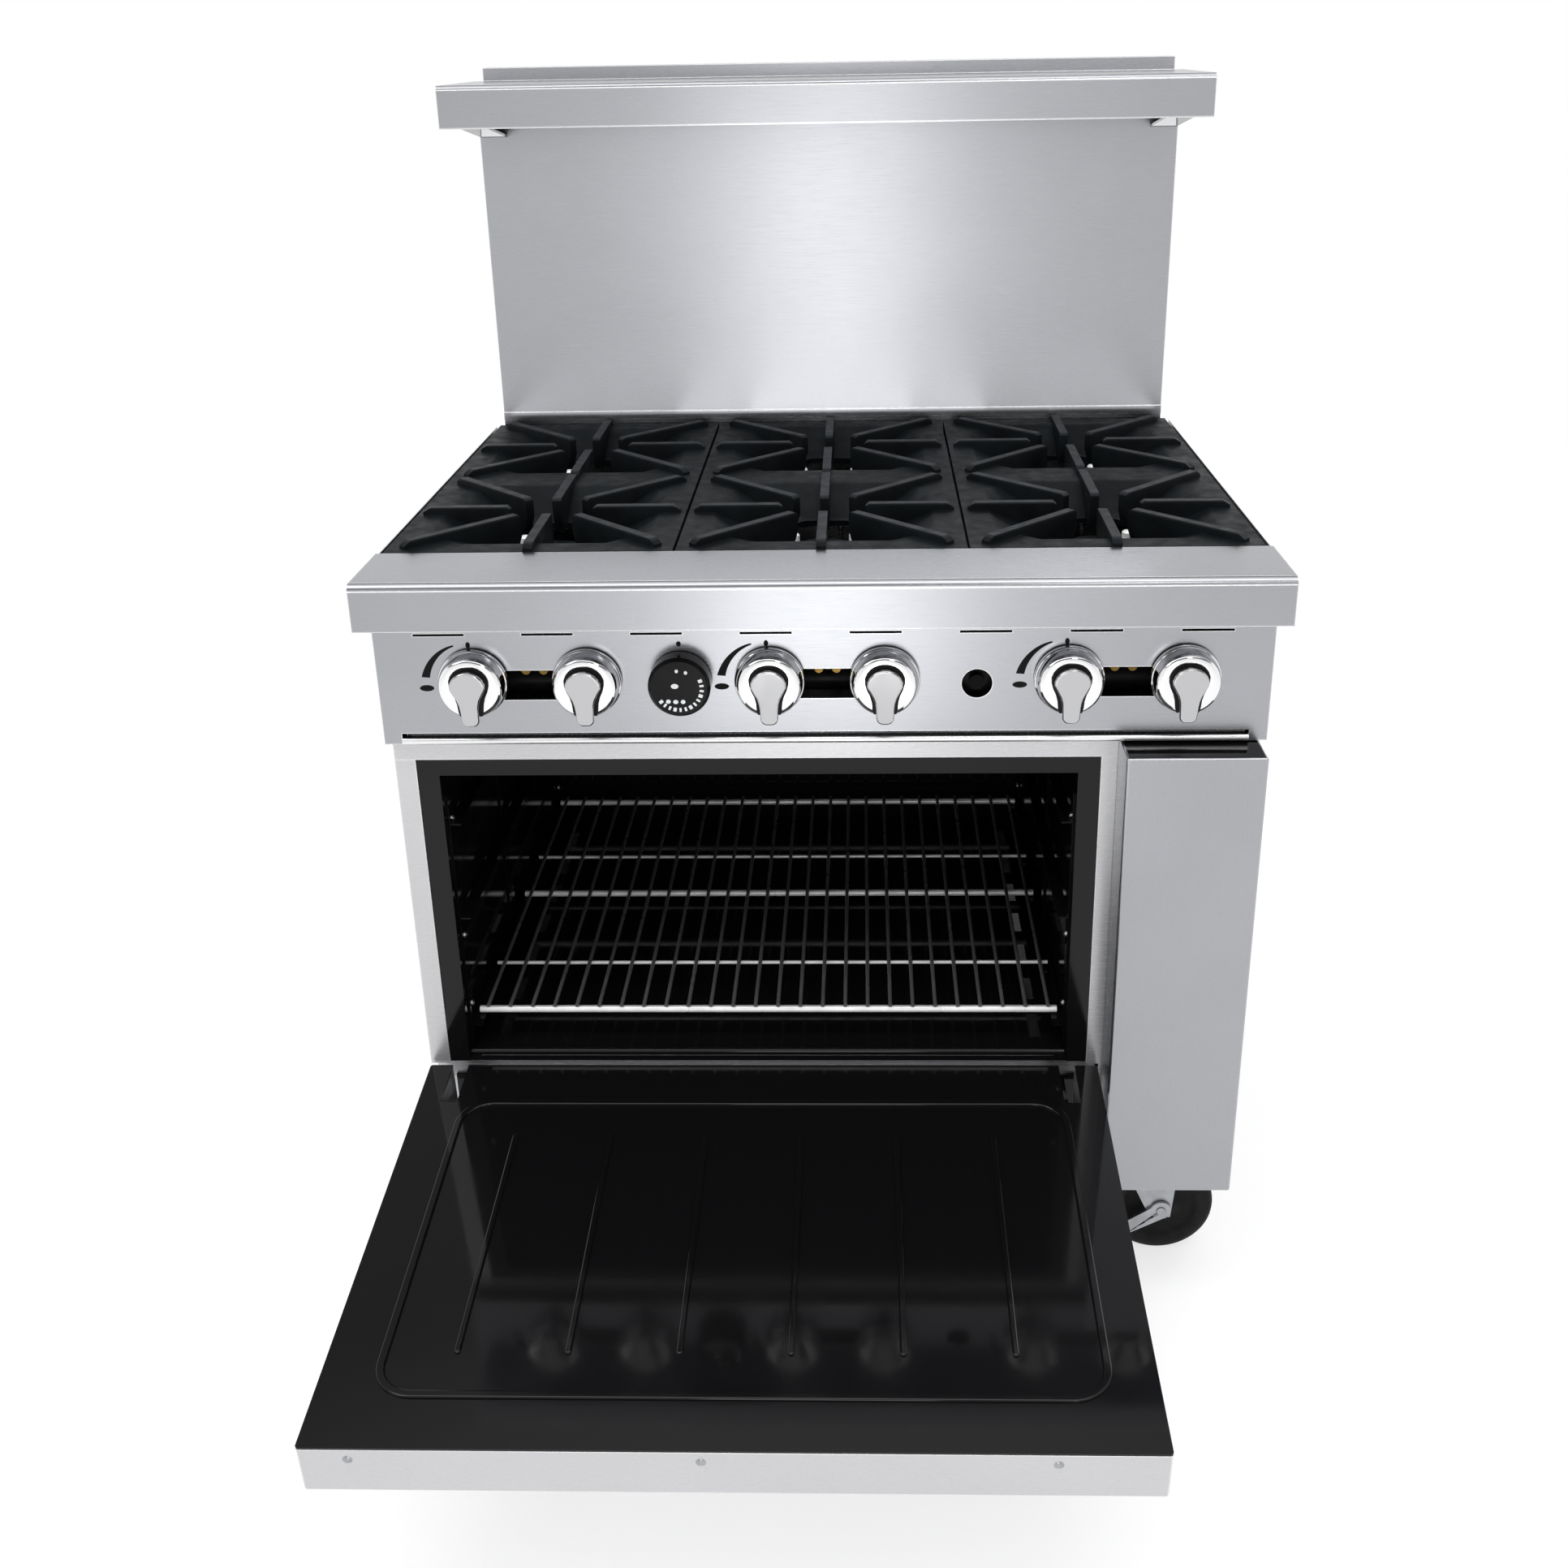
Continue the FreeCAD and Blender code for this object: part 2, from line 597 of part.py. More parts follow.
def thermostat_body():
    """The oven thermostat behind the panel, and its sensing bulb inside the oven."""
    body = box(THERMOSTAT_X - 28, THERMOSTAT_X + 28, 64, 80, KNOB_Z - 14, KNOB_Z + 26)
    stem = rod(THERMOSTAT_X, PANEL_Y - 12, KNOB_Z, Y_AXIS, STEM_R, 36)
    nut = rod(THERMOSTAT_X, 56, KNOB_Z, Y_AXIS, 8, 10)
    bulb = rod(-300, CAVITY_BACK - 14, CAVITY_TOP - 16, X_AXIS, 4, 180)
    clips = [
        box(x - 4, x + 4, CAVITY_BACK - 12, CAVITY_BACK, CAVITY_TOP - 12, CAVITY_TOP - 9.5)
        for x in (-270, -160)
    ]
    save("thermostat_body", [fused([body, stem, nut]), bulb] + clips)


def safety_valve():
    """The oven pilot safety valve behind the sight hole, with the pipe down to the oven burner."""
    z = KNOB_Z - 6
    body = box(SIGHT_X - 20, SIGHT_X + 20, 66, 78, z - 16, z + 40)
    boss = rod(SIGHT_X, 62, z, Y_AXIS, 13, 6)
    hole = rod(SIGHT_X, 60, z, Y_AXIS, 6 + SHAFT_CLEARANCE, 14)
    save("safety_valve", [fused([body, boss]).cut(hole)])


def reset_button():
    z = KNOB_Z - 6
    stem = rod(SIGHT_X, 52, z, Y_AXIS, 6, 15)
    head = rod(SIGHT_X, 48, z, Y_AXIS, 8, 5)
    save("reset_button", [fused([stem, head])])


# ---- Oven ---------------------------------------------------------------------------------------

def oven_cavity():
    """Enamelled liner: top, two sides and back, and the dark flange round its mouth."""
    left, right = CAVITY_LEFT, CAVITY_RIGHT
    front = FRAME_Y + SHEET + 0.4
    low = CAVITY_FLOOR - SHEET - 6
    flange_left = MOUTH_LEFT + 0.3
    flange_right = MOUTH_RIGHT - 0.3
    flange_top = HEADER_BOTTOM - 0.3
    inside = front + SHEET
    solids = [
        box(left - SHEET, left, inside, CAVITY_BACK, low, CAVITY_TOP),
        box(right, right + SHEET, inside, CAVITY_BACK, low, CAVITY_TOP),
        box(left - SHEET, right + SHEET, inside, CAVITY_BACK, CAVITY_TOP, CAVITY_TOP + SHEET),
        box(left - SHEET, right + SHEET, CAVITY_BACK, CAVITY_BACK + SHEET, low, CAVITY_TOP + SHEET),
        box(flange_left, left, front, inside, low, flange_top),
        box(right, flange_right, front, inside, low, flange_top),
        box(left, right, front, inside, CAVITY_TOP, flange_top),
        box(left, right, front, inside, low, CAVITY_FLOOR - 1.5),
        box(left, left + 12, inside, CAVITY_BACK, low + 4, CAVITY_FLOOR - 1.5),
        box(right - 12, right, inside, CAVITY_BACK, low + 4, CAVITY_FLOOR - 1.5),
    ]
    save("oven_cavity", solids)


def oven_deck():
    """The lift-out oven floor, with heat slots along both sides and a rolled front lip."""
    inset = 1.0
    front = FRAME_Y + 2 * SHEET + 1
    sheet = box(
        CAVITY_LEFT + inset, CAVITY_RIGHT - inset,
        front, CAVITY_BACK - inset,
        CAVITY_FLOOR - 1.2, CAVITY_FLOOR,
    )
    for row in range(7):
        y = 120.0 + row * 78.0
        for x in (CAVITY_LEFT + 30, CAVITY_RIGHT - 30):
            sheet = sheet.cut(box(x - 6, x + 6, y - 24, y + 24, CAVITY_FLOOR - 5, CAVITY_FLOOR + 5))
    lip_r = DECK_LIP_R
    left, right = CAVITY_LEFT + inset, CAVITY_RIGHT - inset
    lip = rod(left, front + lip_r, CAVITY_FLOOR + lip_r - 1, X_AXIS, lip_r, right - left)
    above = box(left, right, front, front + 2 * lip_r, CAVITY_FLOOR, CAVITY_FLOOR + 2 * lip_r)
    save("oven_deck", [sheet, lip.common(above)])


def oven_insulation():
    """Mineral wool slabs round the cavity."""
    left, right = CAVITY_LEFT - SHEET - GAP, CAVITY_RIGHT + SHEET + GAP
    front = FRAME_Y + 16
    back = CAVITY_BACK + SHEET + GAP
    top = CAVITY_TOP + SHEET + GAP
    low = CAVITY_FLOOR - 6
    save("oven_insulation", [
        box(left - WOOL, left, front, back, low, top),
        box(right, right + WOOL, front, back, low, top),
        box(left - WOOL, right + WOOL, front, back, top, top + WOOL),
        box(left - WOOL, right + WOOL, back, back + WOOL, low, top),
    ])


def rack_guides():
    """A pressed ladder on each side wall: two posts and a ledge for each rack height."""
    solids = []
    depth = 14.0
    for wall, way in ((CAVITY_LEFT, 1), (CAVITY_RIGHT, -1)):
        near, far = wall + way * 0.3, wall + way * depth
        low, high = sorted((near, wall + way * 2.0))
        for y in (74, 300, 640):
            solids.append(box(low, high, y, y + 16, CAVITY_FLOOR + 8, CAVITY_TOP - 30))
        shelf_low, shelf_high = sorted((wall + way * 2.0, far))
        for level in GUIDE_LEVELS:
            solids.append(box(shelf_low, shelf_high, 72, 658, level - 2.3, level - 0.3))
            stop_low, stop_high = sorted((wall + way * 2.0, wall + way * 3.5))
            solids.append(box(stop_low, stop_high, 72, 658, level - 0.3, level + 3))
    save("rack_guides", solids)


def oven_burner():
    """A straight burner tube under the deck, with its mixer and two feet."""
    x = (CAVITY_LEFT + CAVITY_RIGHT) / 2
    z = 236.0
    tube = rod(x, 130, z, Y_AXIS, 20, 470)
    mixer = Part.makeCone(26, 20, 30, V(x, 100.5, z), Y_AXIS)
    cap = rod(x, 600, z, Y_AXIS, 22, 6)
    tube = fused([tube, mixer, cap])
    for port in range(18):
        tube = tube.cut(rod(x, 160.0 + 24.0 * port, z, Z_AXIS, 2, 30))
    foot_z = BODY_BOTTOM + PLATE + SHEET
    feet = [box(x - 18, x + 18, y, y + 3, foot_z, z - 20) for y in OVEN_BURNER_FEET]
    shield = box(x - 120, x + 120, 100, 640, 272, 273.5)
    save("oven_burner", [tube, shield] + feet)


def flue_duct():
    """Four sheets that carry the oven's flue up inside the backguard."""
    half = 150.0
    low, high = CAVITY_TOP - 60, GUARD_TOP - 60
    y0, y1 = GUARD_Y + 6, BODY_BACK - 8
    save("flue_duct", [
        box(-half, half, y0, y0 + SHEET, low, high),
        box(-half, half, y1 - SHEET, y1, low, high),
        box(-half, -half + SHEET, y0 + SHEET, y1 - SHEET, low, high),
        box(half - SHEET, half, y0 + SHEET, y1 - SHEET, low, high),
    ])


def oven_rack():
    """A chrome wire rack: heavy and thin cross bars below and long wires on top."""
    left = CAVITY_LEFT + 7.0
    right = CAVITY_RIGHT - 7.0
    back = RACK_FRONT + RACK_DEPTH
    solids = []
    for shares, radius in ((RACK_BARS, RACK_BAR_R), (RACK_TIES, RACK_WIRE_R)):
        for share in shares:
            y = RACK_FRONT + share * RACK_DEPTH
            solids.append(rod(left, y, RACK_Z - radius, X_AXIS, radius, right - left))
    wires = int((right - left - 16) / RACK_PITCH)
    first = (left + right - wires * RACK_PITCH) / 2
    length = back - RACK_FRONT + 6
    for place in range(wires + 1):
        x = first + place * RACK_PITCH
        solids.append(rod(x, RACK_FRONT - 3, RACK_Z + RACK_WIRE_R, Y_AXIS, RACK_WIRE_R, length))
    save("oven_rack", solids)


# ---- Door ---------------------------------------------------------------------------------------

def hinge_slots():
    """Room in the door for the two fixed hinge arms."""
    room = 9.0
    front = HINGE_Y - HINGE_EYE_R - 0.4
    return [
        box(x - room, x + room, front, DOOR_INNER_Y + 5, DOOR_BOTTOM - 2, HINGE_Z + 14)
        for x in HINGE_X
    ]


def without(shape, cuts):
    for cut in cuts:
        shape = shape.cut(cut)
    return shape


def door_shell():
    """A pressed stainless pan, open on its inner side."""
    outer_y = DOOR_INNER_Y - DOOR_THICK
    inner_y = DOOR_INNER_Y - 2.3
    pan = rounded_box(DOOR_LEFT, DOOR_RIGHT, outer_y, inner_y, DOOR_BOTTOM, DOOR_TOP, DOOR_BEND, Y_AXIS)
    pan = pan.makeFillet(DOOR_BEND - 0.5, [e for e in pan.Edges if abs(e.CenterOfMass.y - outer_y) < 0.1])
    wall = DOOR_WALL
    hollow = box(
        DOOR_LEFT + wall, DOOR_RIGHT - wall,
        outer_y + wall, inner_y + 1,
        DOOR_BOTTOM + wall, DOOR_TOP - wall,
    )
    save("door_shell", [opened(without(pan.cut(hollow), hinge_slots()))])


def pressed(x0, x1, z0, z1, corner):
    """A shallow raised shape on the closed door's inner face."""
    return rounded_box(x0, x1, DOOR_INNER_Y, DOOR_INNER_Y + LINER_RAISE, z0, z1, corner, Y_AXIS)


def softened(shape):
    """Rounds the proud edges of a pressed shape."""
    top = DOOR_INNER_Y + LINER_RAISE
    return shape.makeFillet(LINER_SOFT, [e for e in shape.Edges if abs(e.CenterOfMass.y - top) < 0.01])


def door_liner():
    """The enamelled inner face, with a raised bead and six ribs."""
    back = DOOR_INNER_Y - 2
    sheet = rounded_box(DOOR_LEFT, DOOR_RIGHT, back, DOOR_INNER_Y, DOOR_BOTTOM, DOOR_TOP, 3.0, Y_AXIS)
    sheet = without(sheet, hinge_slots())
    x0, x1, z0, z1 = BEAD
    wide = BEAD_WIDTH
    outer = pressed(x0, x1, z0, z1, BEAD_CORNER)
    inner = pressed(x0 + wide, x1 - wide, z0 + wide, z1 - wide, BEAD_CORNER - wide)
    ribs = []
    for place in range(6):
        x = RIB_START + place * RIB_PITCH
        ribs.append(softened(pressed(x - 3, x + 3, RIB_LOW, RIB_HIGH, 2.9)))
    save("door_liner", [opened(fused([sheet, softened(outer.cut(inner))] + ribs))])


def door_insulation():
    inset = 26.0
    slab = box(
        DOOR_LEFT + inset, DOOR_RIGHT - inset, DOOR_INNER_Y - DOOR_THICK + 6, DOOR_INNER_Y - 4,
        DOOR_BOTTOM + 70, DOOR_TOP - 20,
    )
    save("door_insulation", [opened(slab)])


def door_handle():
    """A tubular bar across the outer face, on two brackets."""
    outer_y = DOOR_INNER_Y - DOOR_THICK
    bar_y = outer_y - 46.0
    bar_z = DOOR_TOP - 58.0
    middle = (DOOR_LEFT + DOOR_RIGHT) / 2
    length = 600.0
    tube = rod(middle - length / 2, bar_y, bar_z, X_AXIS, 12.5, length)
    save("door_handle", [opened(tube)])
    brackets = []
    for side in (-1, 1):
        x = middle + side * (length / 2 - 26)
        post = box(x - 8, x + 8, bar_y, outer_y - 5, bar_z - 9, bar_z + 9)
        collar = rod(x - 14, bar_y, bar_z, X_AXIS, 17, 28)
        base = rounded_box(x - 16, x + 16, outer_y - 5, outer_y - 0.02, bar_z - 22, bar_z + 22, 6, Y_AXIS)
        bore = rod(x - 20, bar_y, bar_z, X_AXIS, 12.55, 40)
        brackets.append(opened(fused([post, collar, base]).cut(bore)))
    save("handle_brackets", brackets)


def hinge_parts():
    """Fixed arms on the body with an eye at the hinge axis, and the door's two hinge pins."""
    arms = []
    pins = []
    half = 2.5
    foot_front = SWEEP_BACK - 3.3
    foot_back = SWEEP_BACK - 0.3
    cheek = 9.3
    thick = 2.2
    for x in HINGE_X:
        arm = box(x - half, x + half, HINGE_Y, foot_front, HINGE_Z - 1, HINGE_Z + 9)
        eye = rod(x - half, HINGE_Y, HINGE_Z, X_AXIS, HINGE_EYE_R, 2 * half)
        foot = box(x - 14, x + 14, foot_front, foot_back, HINGE_Z - 20, HINGE_Z + 20)
        bore = rod(x - half - 1, HINGE_Y, HINGE_Z, X_AXIS, HINGE_PIN_R, 2 * half + 2)
        arms.append(fused([arm, eye, foot]).cut(bore))
        pin = rod(x - 11.5, HINGE_Y, HINGE_Z, X_AXIS, HINGE_PIN_R - SHAFT_CLEARANCE, 23)
        cheeks = []
        for start in (x - cheek - thick, x + cheek):
            cheeks.append(box(
                start, start + thick,
                HINGE_Y - HINGE_EYE_R, DOOR_INNER_Y - 3,
                DOOR_BOTTOM + DOOR_WALL, HINGE_Z + 12,
            ))
        pins.append(opened(fused([pin] + cheeks)))
    save("hinge_brackets", arms + hinge_covers())
    save("door_hinge_pins", pins)


def hinge_covers():
    """Black plates with a slanted top over the lower corners of the oven's flange."""
    front = FRAME_Y + 0.1
    depth = 1.3
    low = CAVITY_FLOOR - 7
    covers = []
    for outer, inner in ((MOUTH_LEFT + 0.6, CAVITY_LEFT - 0.4), (MOUTH_RIGHT - 0.6, CAVITY_RIGHT + 0.4)):
        outline = [
            (outer, front, low), (inner, front, low),
            (inner, front, COVER_INNER_TOP), (outer, front, COVER_OUTER_TOP),
        ]
        covers.append(prism(outline, (0, depth, 0)))
    return covers


def door_screws():
    """Three screw heads on the door's top edge."""
    heads = []
    for x in SCREW_X:
        foot = V(x, DOOR_INNER_Y - SCREW_DEPTH, DOOR_TOP + 0.02)
        heads.append(opened(Part.makeCone(4.5, 2.5, SCREW_HEAD, foot, Z_AXIS)))
    save("door_screws", heads)


# ---- Backguard and shelf ------------------------------------------------------------------------

def backguard():
    half = GUARD_WIDTH / 2
    low = LEDGE_BOTTOM + 1
    front = [
        box(-half, half, GUARD_Y, GUARD_Y + SHEET, low, SHELF_TOP - 2),
        box(-half, -half + SHEET, GUARD_Y + SHEET, BODY_BACK - SHEET - GAP, low, SHELF_TOP - 2),
        box(half - SHEET, half, GUARD_Y + SHEET, BODY_BACK - SHEET - GAP, low, SHELF_TOP - 2),
        box(-half, half, GUARD_Y - 1.6, GUARD_Y - 0.1, LEDGE_TOP + 6, LEDGE_TOP + 17),
    ]
    save("guard_front", front)
    back = box(-half, half, BODY_BACK - SHEET, BODY_BACK, low, GUARD_TOP)
    for row in range(3):
        for column in range(-3, 4):
            x = column * 110.0
            z = GUARD_TOP - 90 + row * 18
            back = back.cut(box(x - 38, x + 38, BODY_BACK - 3, BODY_BACK + 1, z, z + 7))
    top = box(-half, half, SHELF_BACK + 1.7, BODY_BACK - SHEET, GUARD_TOP - SHEET, GUARD_TOP)
    save("guard_back", [back, top])


def high_shelf():
    """The shelf on top of the backguard: a deep rolled front lip, short end lips and a rear upstand."""
    half = WIDTH / 2
    wall = SHEET
    inner = half - wall
    radius = SHELF_ROLL
    top = SHELF_TOP - wall
    start = SHELF_FRONT + radius
    end_low = SHELF_BOTTOM + 24
    rear = GUARD_WIDTH / 2
    save("high_shelf", [
        box(-half, half, start, SHELF_BACK, top, SHELF_TOP),
        box(-half, half, SHELF_FRONT, SHELF_FRONT + wall, SHELF_BOTTOM + wall, SHELF_TOP - radius),
        rolled_edge(-half, half, start, SHELF_TOP - radius, radius),
        box(-half, half, SHELF_FRONT, SHELF_FRONT + 14, SHELF_BOTTOM, SHELF_BOTTOM + wall),
        box(-rear, rear, SHELF_BACK, SHELF_BACK + wall, top, GUARD_TOP),
        box(-half, -inner, start, SHELF_BACK, end_low, top),
        box(inner, half, start, SHELF_BACK, end_low, top),
    ])


def shelf_brackets():
    """Black gussets under both ends of the shelf, against the backguard."""
    solids = []
    under = SHELF_TOP - SHEET - 0.3
    for side in (-1, 1):
        x = side * (GUARD_WIDTH / 2 - 2)
        plate = [
            (x, SHELF_FRONT + 20, under), (x, SHELF_FRONT + 20, SHELF_BOTTOM + 2),
            (x, GUARD_Y - 0.3, SHELF_BOTTOM - 18), (x, GUARD_Y - 0.3, under),
        ]
        solids.append(prism(plate, (-side * PLATE, 0, 0)))
        flange = [
            (x - side * PLATE, SHELF_FRONT + 20, SHELF_BOTTOM + 2),
            (x - side * PLATE, GUARD_Y - 0.3, SHELF_BOTTOM - 18),
            (x - side * PLATE, GUARD_Y - 0.3, SHELF_BOTTOM - 15),
            (x - side * PLATE, SHELF_FRONT + 20, SHELF_BOTTOM + 5),
        ]
        solids.append(prism(flange, (-side * 30, 0, 0)))
    save("shelf_brackets", solids)


# ---- Crumb tray ---------------------------------------------------------------------------------

def crumb_tray():
    """A shallow pull-out tray: a bottom and four walls, the front one with a finger lip."""
    front = PANEL_Y
    half = TRAY_HALF
    low, high = TRAY_BOTTOM, TRAY_TOP
    inner_front = FRAME_Y + 2
    save("crumb_tray", [
        box(-half, half, front, TRAY_BACK, low, low + SHEET),
        box(-half, half, front - SHEET, front, low - 1.5, TRAY_LIP),
        box(-half, half, inner_front, inner_front + SHEET, low + SHEET, high),
        box(-half, half, TRAY_BACK - SHEET, TRAY_BACK, low + SHEET, high),
        box(-half, -half + SHEET, inner_front + SHEET, TRAY_BACK - SHEET, low + SHEET, high),
        box(half - SHEET, half, inner_front + SHEET, TRAY_BACK - SHEET, low + SHEET, high),
    ])


# ---- Knobs --------------------------------------------------------------------------------------

def burner_knob(x):
    """A round skirt with a lever grip that points down."""
    face = PANEL_Y - 3
    skirt = Part.makeCone(35.5, 33, 9, V(x, face, KNOB_Z), V(0, -1, 0))
    dome = Part.makeCone(21, 15, 24, V(x, face - 8, KNOB_Z), V(0, -1, 0))
    half = 9.0
    grip_front = face - 38
    profile = [
        (x - half, grip_front, KNOB_Z + 14), (x - half, face - 5, KNOB_Z + 19),
        (x - half, face - 5, KNOB_Z - 34), (x - half, face - 14, KNOB_Z - 41),
        (x - half, grip_front + 6, KNOB_Z - 41), (x - half, grip_front, KNOB_Z - 34),
    ]
    grip = prism(profile, (2 * half, 0, 0))
    bore = rod(x, face + 1, KNOB_Z, V(0, -1, 0), STEM_R + SHAFT_CLEARANCE, 25)
    return fused([skirt, dome, grip]).cut(bore)


def knobs():
    for index, x in enumerate(KNOB_X):
        save(f"burner_knob_{index + 1}", [burner_knob(x)])
    face = PANEL_Y - 3
    flat = DIAL_DEPTH - DIAL_RIM
    disc = rod(THERMOSTAT_X, face, KNOB_Z, V(0, -1, 0), DIAL_R, flat)
    rim = Part.makeCone(DIAL_R, DIAL_R - 3, DIAL_RIM, V(THERMOSTAT_X, face - flat, KNOB_Z), V(0, -1, 0))
    bore = rod(THERMOSTAT_X, face + 1, KNOB_Z, V(0, -1, 0), STEM_R + SHAFT_CLEARANCE, 11)
    save("thermostat_knob", [fused([disc, rim]).cut(bore)])


# ---- Casters ------------------------------------------------------------------------------------

def turned(shape, x, y, way):
    """Places a caster piece, drawn at the origin trailing along +X, on its kingpin."""
    copy = shape.copy()
    copy.rotate(V(0, 0, 0), Z_AXIS, math.degrees(math.atan2(way[1], way[0])))
    copy.translate(V(x, y, 0))
    return copy


def caster_shapes():
    """A caster's pieces at the origin: the mounting plate, fork, wheel and brake lever."""
    top = BODY_BOTTOM - 0.3
    plate = rounded_box(-46, 46, -38, 38, top - 4, top, 8, Z_AXIS)
    race = rod(0, 0, top - 9, Z_AXIS, 24, 5)
    pin = rod(0, 0, top - 24, Z_AXIS, KINGPIN_R, 20)
    mount = fused([plate, race, pin])
    head_top = top - 9.5
    head_low = head_top - 8
    inner = WHEEL_WIDTH / 2 + 2.0
    head = rounded_box(-28, TRAIL + 20, -inner - PLATE, inner + PLATE, head_low, head_top, 10, Z_AXIS)
    head = head.cut(rod(0, 0, head_low - 1, Z_AXIS, KINGPIN_R + SHAFT_CLEARANCE, 20))
    legs = []
    for side in (-1, 1):
        y0 = side * inner
        outline = [
            (-20, y0, head_low), (TRAIL - 12, y0, WHEEL_R - 12), (TRAIL + 12, y0, WHEEL_R - 12),
            (TRAIL + 20, y0, head_low),
        ]
        legs.append(prism(outline, (0, side * PLATE, 0)))
    reach = inner + PLATE + 5
    axle = rod(TRAIL, -reach, WHEEL_R, Y_AXIS, AXLE_R - SHAFT_CLEARANCE, 2 * reach)
    bores = rod(TRAIL, -60, WHEEL_R, Y_AXIS, AXLE_R - SHAFT_CLEARANCE, 120)
    fork = [head] + [leg.cut(bores) for leg in legs] + [axle]
    tyre = rod(TRAIL, -WHEEL_WIDTH / 2, WHEEL_R, Y_AXIS, WHEEL_R, WHEEL_WIDTH)
    rims = [e for e in tyre.Edges if e.Length > 100 and abs(abs(e.CenterOfMass.y) - WHEEL_WIDTH / 2) < 0.1]
    wheel = tyre.makeFillet(5, rims)
    for start in (-WHEEL_WIDTH / 2 - 1, WHEEL_WIDTH / 2 - 4):
        dish = rod(TRAIL, start, WHEEL_R, Y_AXIS, 44, 5).cut(rod(TRAIL, start - 1, WHEEL_R, Y_AXIS, 16, 7))
        wheel = wheel.cut(dish)
    wheel = wheel.cut(rod(TRAIL, -40, WHEEL_R, Y_AXIS, AXLE_R, 80))
    return mount, fork, wheel


def brake_lever(side):
    """A foot lever that turns on the outer end of the axle; side is the fork's front or back."""
    inner = WHEEL_WIDTH / 2 + 2.0 + PLATE + 0.5
    y0 = side * inner
    thick = 3.5
    hub = rod(TRAIL, min(y0, y0 + side * thick), WHEEL_R, Y_AXIS, 12, thick)
    arm = prism([
        (TRAIL - 8, y0, WHEEL_R + 6), (TRAIL - 50, y0, WHEEL_R - 22), (TRAIL - 42, y0, WHEEL_R - 36),
        (TRAIL + 4, y0, WHEEL_R - 11),
    ], (0, side * thick, 0))
    pedal = prism([
        (TRAIL - 50, y0, WHEEL_R - 22), (TRAIL - 54, y0, WHEEL_R - 27), (TRAIL - 46, y0, WHEEL_R - 41),
        (TRAIL - 42, y0, WHEEL_R - 36),
    ], (0, side * 16, 0))
    bore = rod(TRAIL, -60, WHEEL_R, Y_AXIS, AXLE_R, 120)
    return fused([hub, arm, pedal]).cut(bore)


def casters():
    mount, fork, wheel = caster_shapes()
    mounts = []
    for index, (x, y, way) in enumerate(KINGPINS):
        mounts.append(turned(mount, x, y, way))
        save(f"caster_fork_{index + 1}", [turned(piece, x, y, way) for piece in fork])
        save(f"caster_wheel_{index + 1}", [turned(wheel, x, y, way)])
        if index in BRAKED:
            front = 1 if way[0] < 0 else -1
            save(f"brake_lever_{index + 1}", [turned(brake_lever(front), x, y, way)])
    save("caster_plates", mounts)


# ---- Everything ---------------------------------------------------------------------------------

def main():
    os.makedirs("parts", exist_ok=True)
    for build in (
        side_panels, back_panel, base_frame, front_frame, right_box_panel, front_ledge, control_panel,
        cooktop_frame, grates, burner_heads, burner_venturis, gas_manifold, burner_valves, pilot_valves,
        pilot_tubes, gas_inlet, thermostat_body, safety_valve, reset_button, oven_cavity, oven_deck,
        oven_insulation, rack_guides, oven_burner, flue_duct, oven_rack, door_shell, door_liner,
        door_insulation, door_handle, hinge_parts, door_screws, backguard, high_shelf, shelf_brackets,
        crumb_tray, knobs, casters,
    ):
        build()
    print("middle of the range behind the ledge's front, mm:", round(ORIGIN_Y, 3))


main()
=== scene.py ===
import json
import math

import bmesh
import bpy
from mathutils import Matrix, Vector


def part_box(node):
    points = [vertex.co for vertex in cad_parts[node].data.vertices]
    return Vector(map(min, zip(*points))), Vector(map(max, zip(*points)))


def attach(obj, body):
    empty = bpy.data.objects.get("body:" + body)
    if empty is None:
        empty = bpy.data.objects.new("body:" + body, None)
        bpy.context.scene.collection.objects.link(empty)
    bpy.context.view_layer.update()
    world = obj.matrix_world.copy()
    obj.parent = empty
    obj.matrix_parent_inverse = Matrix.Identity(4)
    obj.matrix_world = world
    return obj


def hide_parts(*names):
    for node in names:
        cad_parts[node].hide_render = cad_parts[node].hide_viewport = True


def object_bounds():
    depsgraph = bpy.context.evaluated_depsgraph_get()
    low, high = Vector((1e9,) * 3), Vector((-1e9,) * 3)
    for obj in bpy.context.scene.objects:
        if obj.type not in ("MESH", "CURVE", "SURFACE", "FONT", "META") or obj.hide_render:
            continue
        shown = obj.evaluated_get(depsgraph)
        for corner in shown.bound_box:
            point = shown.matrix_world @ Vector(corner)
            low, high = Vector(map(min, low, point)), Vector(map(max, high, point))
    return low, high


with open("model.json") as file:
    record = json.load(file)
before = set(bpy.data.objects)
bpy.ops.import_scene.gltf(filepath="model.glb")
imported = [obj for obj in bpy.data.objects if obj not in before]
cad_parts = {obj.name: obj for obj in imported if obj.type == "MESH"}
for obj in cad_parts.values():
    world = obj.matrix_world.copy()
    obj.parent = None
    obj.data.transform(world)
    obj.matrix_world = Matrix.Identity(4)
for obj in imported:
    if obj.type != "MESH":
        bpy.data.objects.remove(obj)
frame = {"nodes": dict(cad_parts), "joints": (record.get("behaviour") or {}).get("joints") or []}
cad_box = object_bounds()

# Looks for a commercial gas range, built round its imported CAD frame. Metres: X right, Y back, Z up.

MM = 0.001
NODES = frame["nodes"]
KNOBS = range(1, 7)
CASTERS = range(1, 5)


# ---- Camera, floor and light --------------------------------------------------------------------

